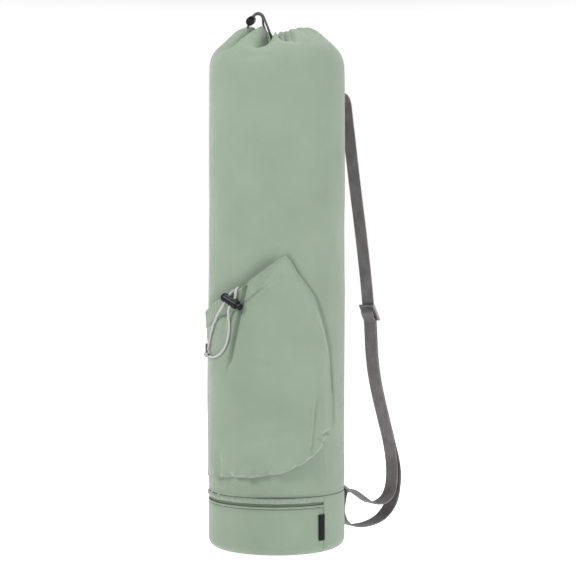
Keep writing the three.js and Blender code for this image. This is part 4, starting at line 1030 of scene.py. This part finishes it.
def webbing_material(name, light, dark):
    """Ribbed webbing: cords of yarn along it, crossed by fine weft."""
    material = new_material(name, Roughness=0.75, Sheen_Weight=0.3)
    uv = add_node(material, "UVMap", uv_map="cloth").outputs[0]
    split = add_node(material, "SeparateXYZ", {0: uv})
    waves = [sine_of(material, split.outputs[way], 2 * math.pi / pitch) for way, pitch in WEBBING_PITCH]
    weave = add_node(material, "Math", {0: waves[0], 1: waves[1]}, operation="MULTIPLY").outputs[0]
    place = add_node(material, "TexCoord").outputs["Object"]
    cloud = add_node(material, "TexNoise", {"Vector": place, "Scale": 60.0, "Detail": 5.0}).outputs[0]
    # The ribs and weft also put painted shade into the colour: darker in the hollows between them, lighter on
    # their crowns; the cloud noise is the yarn's random tone.
    mixed = add_node(material, "Math", {0: weave, 1: 0.22, 2: cloud}, operation="MULTIPLY_ADD").outputs[0]
    share = add_node(material, "MapRange", {0: mixed, 1: 0.2, 2: 0.85}).outputs[0]
    wear(material, Base_Color=graded(material, share, dark, light),
         Normal=relief_of(material, weave, 0.7, 0.00015))
    return material


grey_webbing = webbing_material("grey_webbing", (0.215, 0.19, 0.195), (0.09, 0.078, 0.081))
girth = 2 * (WEBBING_WIDTH + WEBBING)
strap_mesh = swept_mesh(webbing_frames(strap_line()), WEBBING_SIDES, webbing_section, girth)
strap = object_from("shoulder_strap", strap_mesh, grey_webbing)
finish_piece(strap, "webbing", "strap")
tab_line = [
    Vector((BODY_RADIUS + SEAM_GAP, RING_INNER_BAR.y + RING_WRAP)),
    *arc(RING_INNER_BAR, RING_WRAP, 90, -90, 16),
    Vector((BODY_RADIUS + SEAM_GAP, RING_INNER_BAR.y - RING_WRAP)),
]
tab_mesh = swept_mesh(webbing_frames(tab_line), WEBBING_SIDES, webbing_section, girth)
tab = object_from("ring_loop", tab_mesh, grey_webbing)
finish_piece(tab, "webbing", "ring_tab")
SEAM_STEPS = 60
strap_stitches = []
sewn_out = BODY_RADIUS + SEAM_GAP + WEBBING + 0.0002
box_low, box_high, box_half = STRAP_SEWN_Z + 0.003, STRAP_LIFT_Z - 0.002, WEBBING_WIDTH / 2 - 0.003
corners = [(-box_half, box_low), (box_half, box_low), (box_half, box_high), (-box_half, box_high)]
for start, end in ((0, 1), (1, 2), (2, 3), (3, 0), (0, 2), (1, 3)):
    (x0, z0), (x1, z1) = corners[start], corners[end]
    run = []
    for i in range(SEAM_STEPS + 1):
        share = i / SEAM_STEPS
        at = in_strap_plane(Vector((sewn_out, z0 + (z1 - z0) * share)), x0 + (x1 - x0) * share)
        run.append((at, polar(STRAP_AZIMUTH, 1.0, 0.0)))
    strap_stitches.append(run)
beads_along("strap_stitches", strap_stitches, thread, STITCH, STITCH_PITCH, "webbing")


# The strap's hardware: a moulded three-bar slider and the oblong ring that hangs in its loop at the
# base, both of grey plastic with a fine moulded grain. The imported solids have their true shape.
grey_plastic = new_material("grey_plastic", Roughness=0.42)
plastic_grain = add_node(grey_plastic, "TexNoise", {"Scale": 700.0, "Detail": 4.0})
plastic_tint = graded(grey_plastic, plastic_grain.outputs[0], (0.13, 0.12, 0.12), (0.19, 0.18, 0.18))
wear(grey_plastic, Base_Color=plastic_tint,
     Normal=relief_of(grey_plastic, plastic_grain.outputs[0], 0.15, 0.00006))
for node in ("strap_ring", "strap_slider"):
    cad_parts[node].material_slots[0].material = grey_plastic


# The two cord locks: a black moulded barrel, rounded at its closed end, with a cross slot that the
# strands pass through, and a ribbed push button that a hidden spring holds out of its bore.
LOCK_THICK_SHARE = 0.867
LOCK_BORE = 0.00395
LOCK_SLOT = 0.0065
LOCK_STEPS = 36
SLOT_TURN = 30
LOCKS = [
    {"node": "pocket_lock", "body": "pocket_button", "at": polar(-33.5, 0.1063, 0.324),
     "axis": (0.8, -0.4, -0.5), "strands": (0.5, 0, 0.8)},
    {"node": "drawcord_lock", "body": "drawcord_button", "at": Vector((-0.033, -0.039, 0.6874)),
     "axis": (-0.1, -0.96, -0.27), "strands": (0.45, 0, 0.89)},
]
BARREL_PROFILE = [  # (radius, height) in millimetres, from the bore's floor round to the closed end
    (0, -10.9), (3.95, -10.9), (3.95, -6.5), (3.95, 6.5), (3.95, 11.8), (4.3, 12.4), (5.2, 12.5), (5.8, 12.1),
    (6.0, 11.4), (6.0, 10.6), (5.65, 10.3), (5.65, 9.9), (6.0, 9.6), (6.0, 8.8), (5.65, 8.5), (5.65, 8.1),
    (6.0, 7.8), (6.0, 6.5), (6.0, -6.5), (5.95, -8.0), (5.7, -9.8), (5.1, -11.2), (4.0, -12.1), (2.4, -12.45),
    (0, -12.5),
]
BUTTON_PROFILE = [  # (radius, height) in millimetres: a stem above the cross slot, and its cap
    (0, 9.7), (3.5, 9.7), (3.5, 15.6), (4.4, 15.85), (4.65, 16.15), (4.65, 17.4), (4.45, 18.1), (3.9, 18.45),
    (3.0, 18.4), (1.6, 18.2), (0, 18.15),
]
black_plastic = new_material("black_plastic", Base_Color=(0.0030, 0.0026, 0.0040, 1), Roughness=0.3,
                             Specular_IOR_Level=0.16)
black_grain = add_node(black_plastic, "TexNoise", {"Scale": 1200.0, "Detail": 3.0})
black_share = add_node(black_plastic, "MapRange", {0: black_grain.outputs[0], 3: 0.24, 4: 0.4})
wear(black_plastic, Normal=relief_of(black_plastic, black_grain.outputs[0], 0.12, 0.00005),
     Roughness=black_share.outputs[0])


def spun(profile, steps):
    """A turned solid from (radius, height) points in millimetres."""
    bm = bmesh.new()
    points = [bm.verts.new((r / 1000, 0, z / 1000)) for r, z in profile]
    edges = [bm.edges.new(pair) for pair in zip(points, points[1:])]
    bmesh.ops.spin(bm, geom=[*points, *edges], cent=(0, 0, 0), axis=(0, 0, 1), angle=2 * math.pi,
                   steps=steps, use_merge=True, use_duplicate=False)
    bmesh.ops.remove_doubles(bm, verts=bm.verts, dist=1e-6)
    return bm


def turn_of(point):
    return abs(math.degrees(math.atan2(point.y, abs(point.x))))


def lock_barrel():
    bm = spun(BARREL_PROFILE, LOCK_STEPS)
    walls = []
    for face in bm.faces:
        centre = face.calc_center_median()
        heights = [v.co.z for v in face.verts]
        long_face = max(heights) - min(heights) > 1.9 * LOCK_SLOT
        if long_face and turn_of(centre) < SLOT_TURN:
            walls.append(face)
    bmesh.ops.delete(bm, geom=walls, context="FACES")
    rims = [edge for edge in bm.edges if edge.is_boundary]
    for end in (-1, 1):
        bmesh.ops.bridge_loops(bm, edges=[e for e in rims if e.verts[0].co.x * end > 0])
    bmesh.ops.recalc_face_normals(bm, faces=bm.faces)
    for vert in bm.verts:
        if math.hypot(vert.co.x, vert.co.y) > LOCK_BORE + 0.0002:
            vert.co.y *= LOCK_THICK_SHARE
    return bm


def lock_button():
    bm = spun(BUTTON_PROFILE, LOCK_STEPS)
    bmesh.ops.recalc_face_normals(bm, faces=bm.faces)
    return bm


def hard_edges(piece, degrees=35):
    piece.data.set_sharp_from_angle(angle=math.radians(degrees))
    return piece


for lock in LOCKS:
    way = Vector(lock["axis"]).normalized()
    side = way.cross(Vector(lock["strands"])).normalized()
    turned = Matrix((side.cross(way), side, way)).transposed().to_4x4()
    for part, make, body in (("barrel", lock_barrel, "bag"), ("button", lock_button, lock["body"])):
        made = make()
        made.transform(Matrix.Translation(lock["at"]) @ turned)
        lock_piece = hard_edges(object_from(f"{lock['node']}_{part}_moulding", made, black_plastic))
        finish_piece(lock_piece, "black_plastic", f"{lock['node']}_{part}", body=body)


# The elastic's end: its two strands are tied in one small knot, and beyond the knot a short end of dark braid
# stands at the pocket's left edge, as dark as the photo shows that place.
KNOT_SCALE = Vector((0.00100, 0.00100, 0.0017))
KNOT_STEPS = 120
CORD_ROUND = 0.00142
TAIL = [
    (-0.0906, -0.0418, 0.2560), (-0.0909, -0.0408, 0.2600), (-0.0910, -0.0402, 0.2640),
    (-0.0908, -0.0402, 0.2680),
]
knot_line = []
for i in range(KNOT_STEPS + 2):
    t = 2 * math.pi * i / KNOT_STEPS
    turn = Vector((math.sin(t) + 2 * math.sin(2 * t), math.cos(t) - 2 * math.cos(2 * t), -math.sin(3 * t)))
    knot_line.append(KNOT_AT + turn * KNOT_SCALE)


def round_section(turn, share):
    return CORD_ROUND * math.cos(2 * math.pi * turn), CORD_ROUND * math.sin(2 * math.pi * turn)


knot_girth = math.pi * CORD_DIAMETER
knot_mesh = swept_mesh(frames_along(knot_line), CORD_SIDES, round_section, knot_girth)
knot = object_from("elastic_knot", knot_mesh, pale_braid)
finish_piece(knot, "cord_weave", "pocket_cord_knot")
tail_frames = frames_along(even_line(TAIL, CORD_STEP))
tail = object_from("elastic_end", swept_mesh(tail_frames, CORD_SIDES, round_section, knot_girth), dark_braid)
finish_piece(tail, "cord_weave")
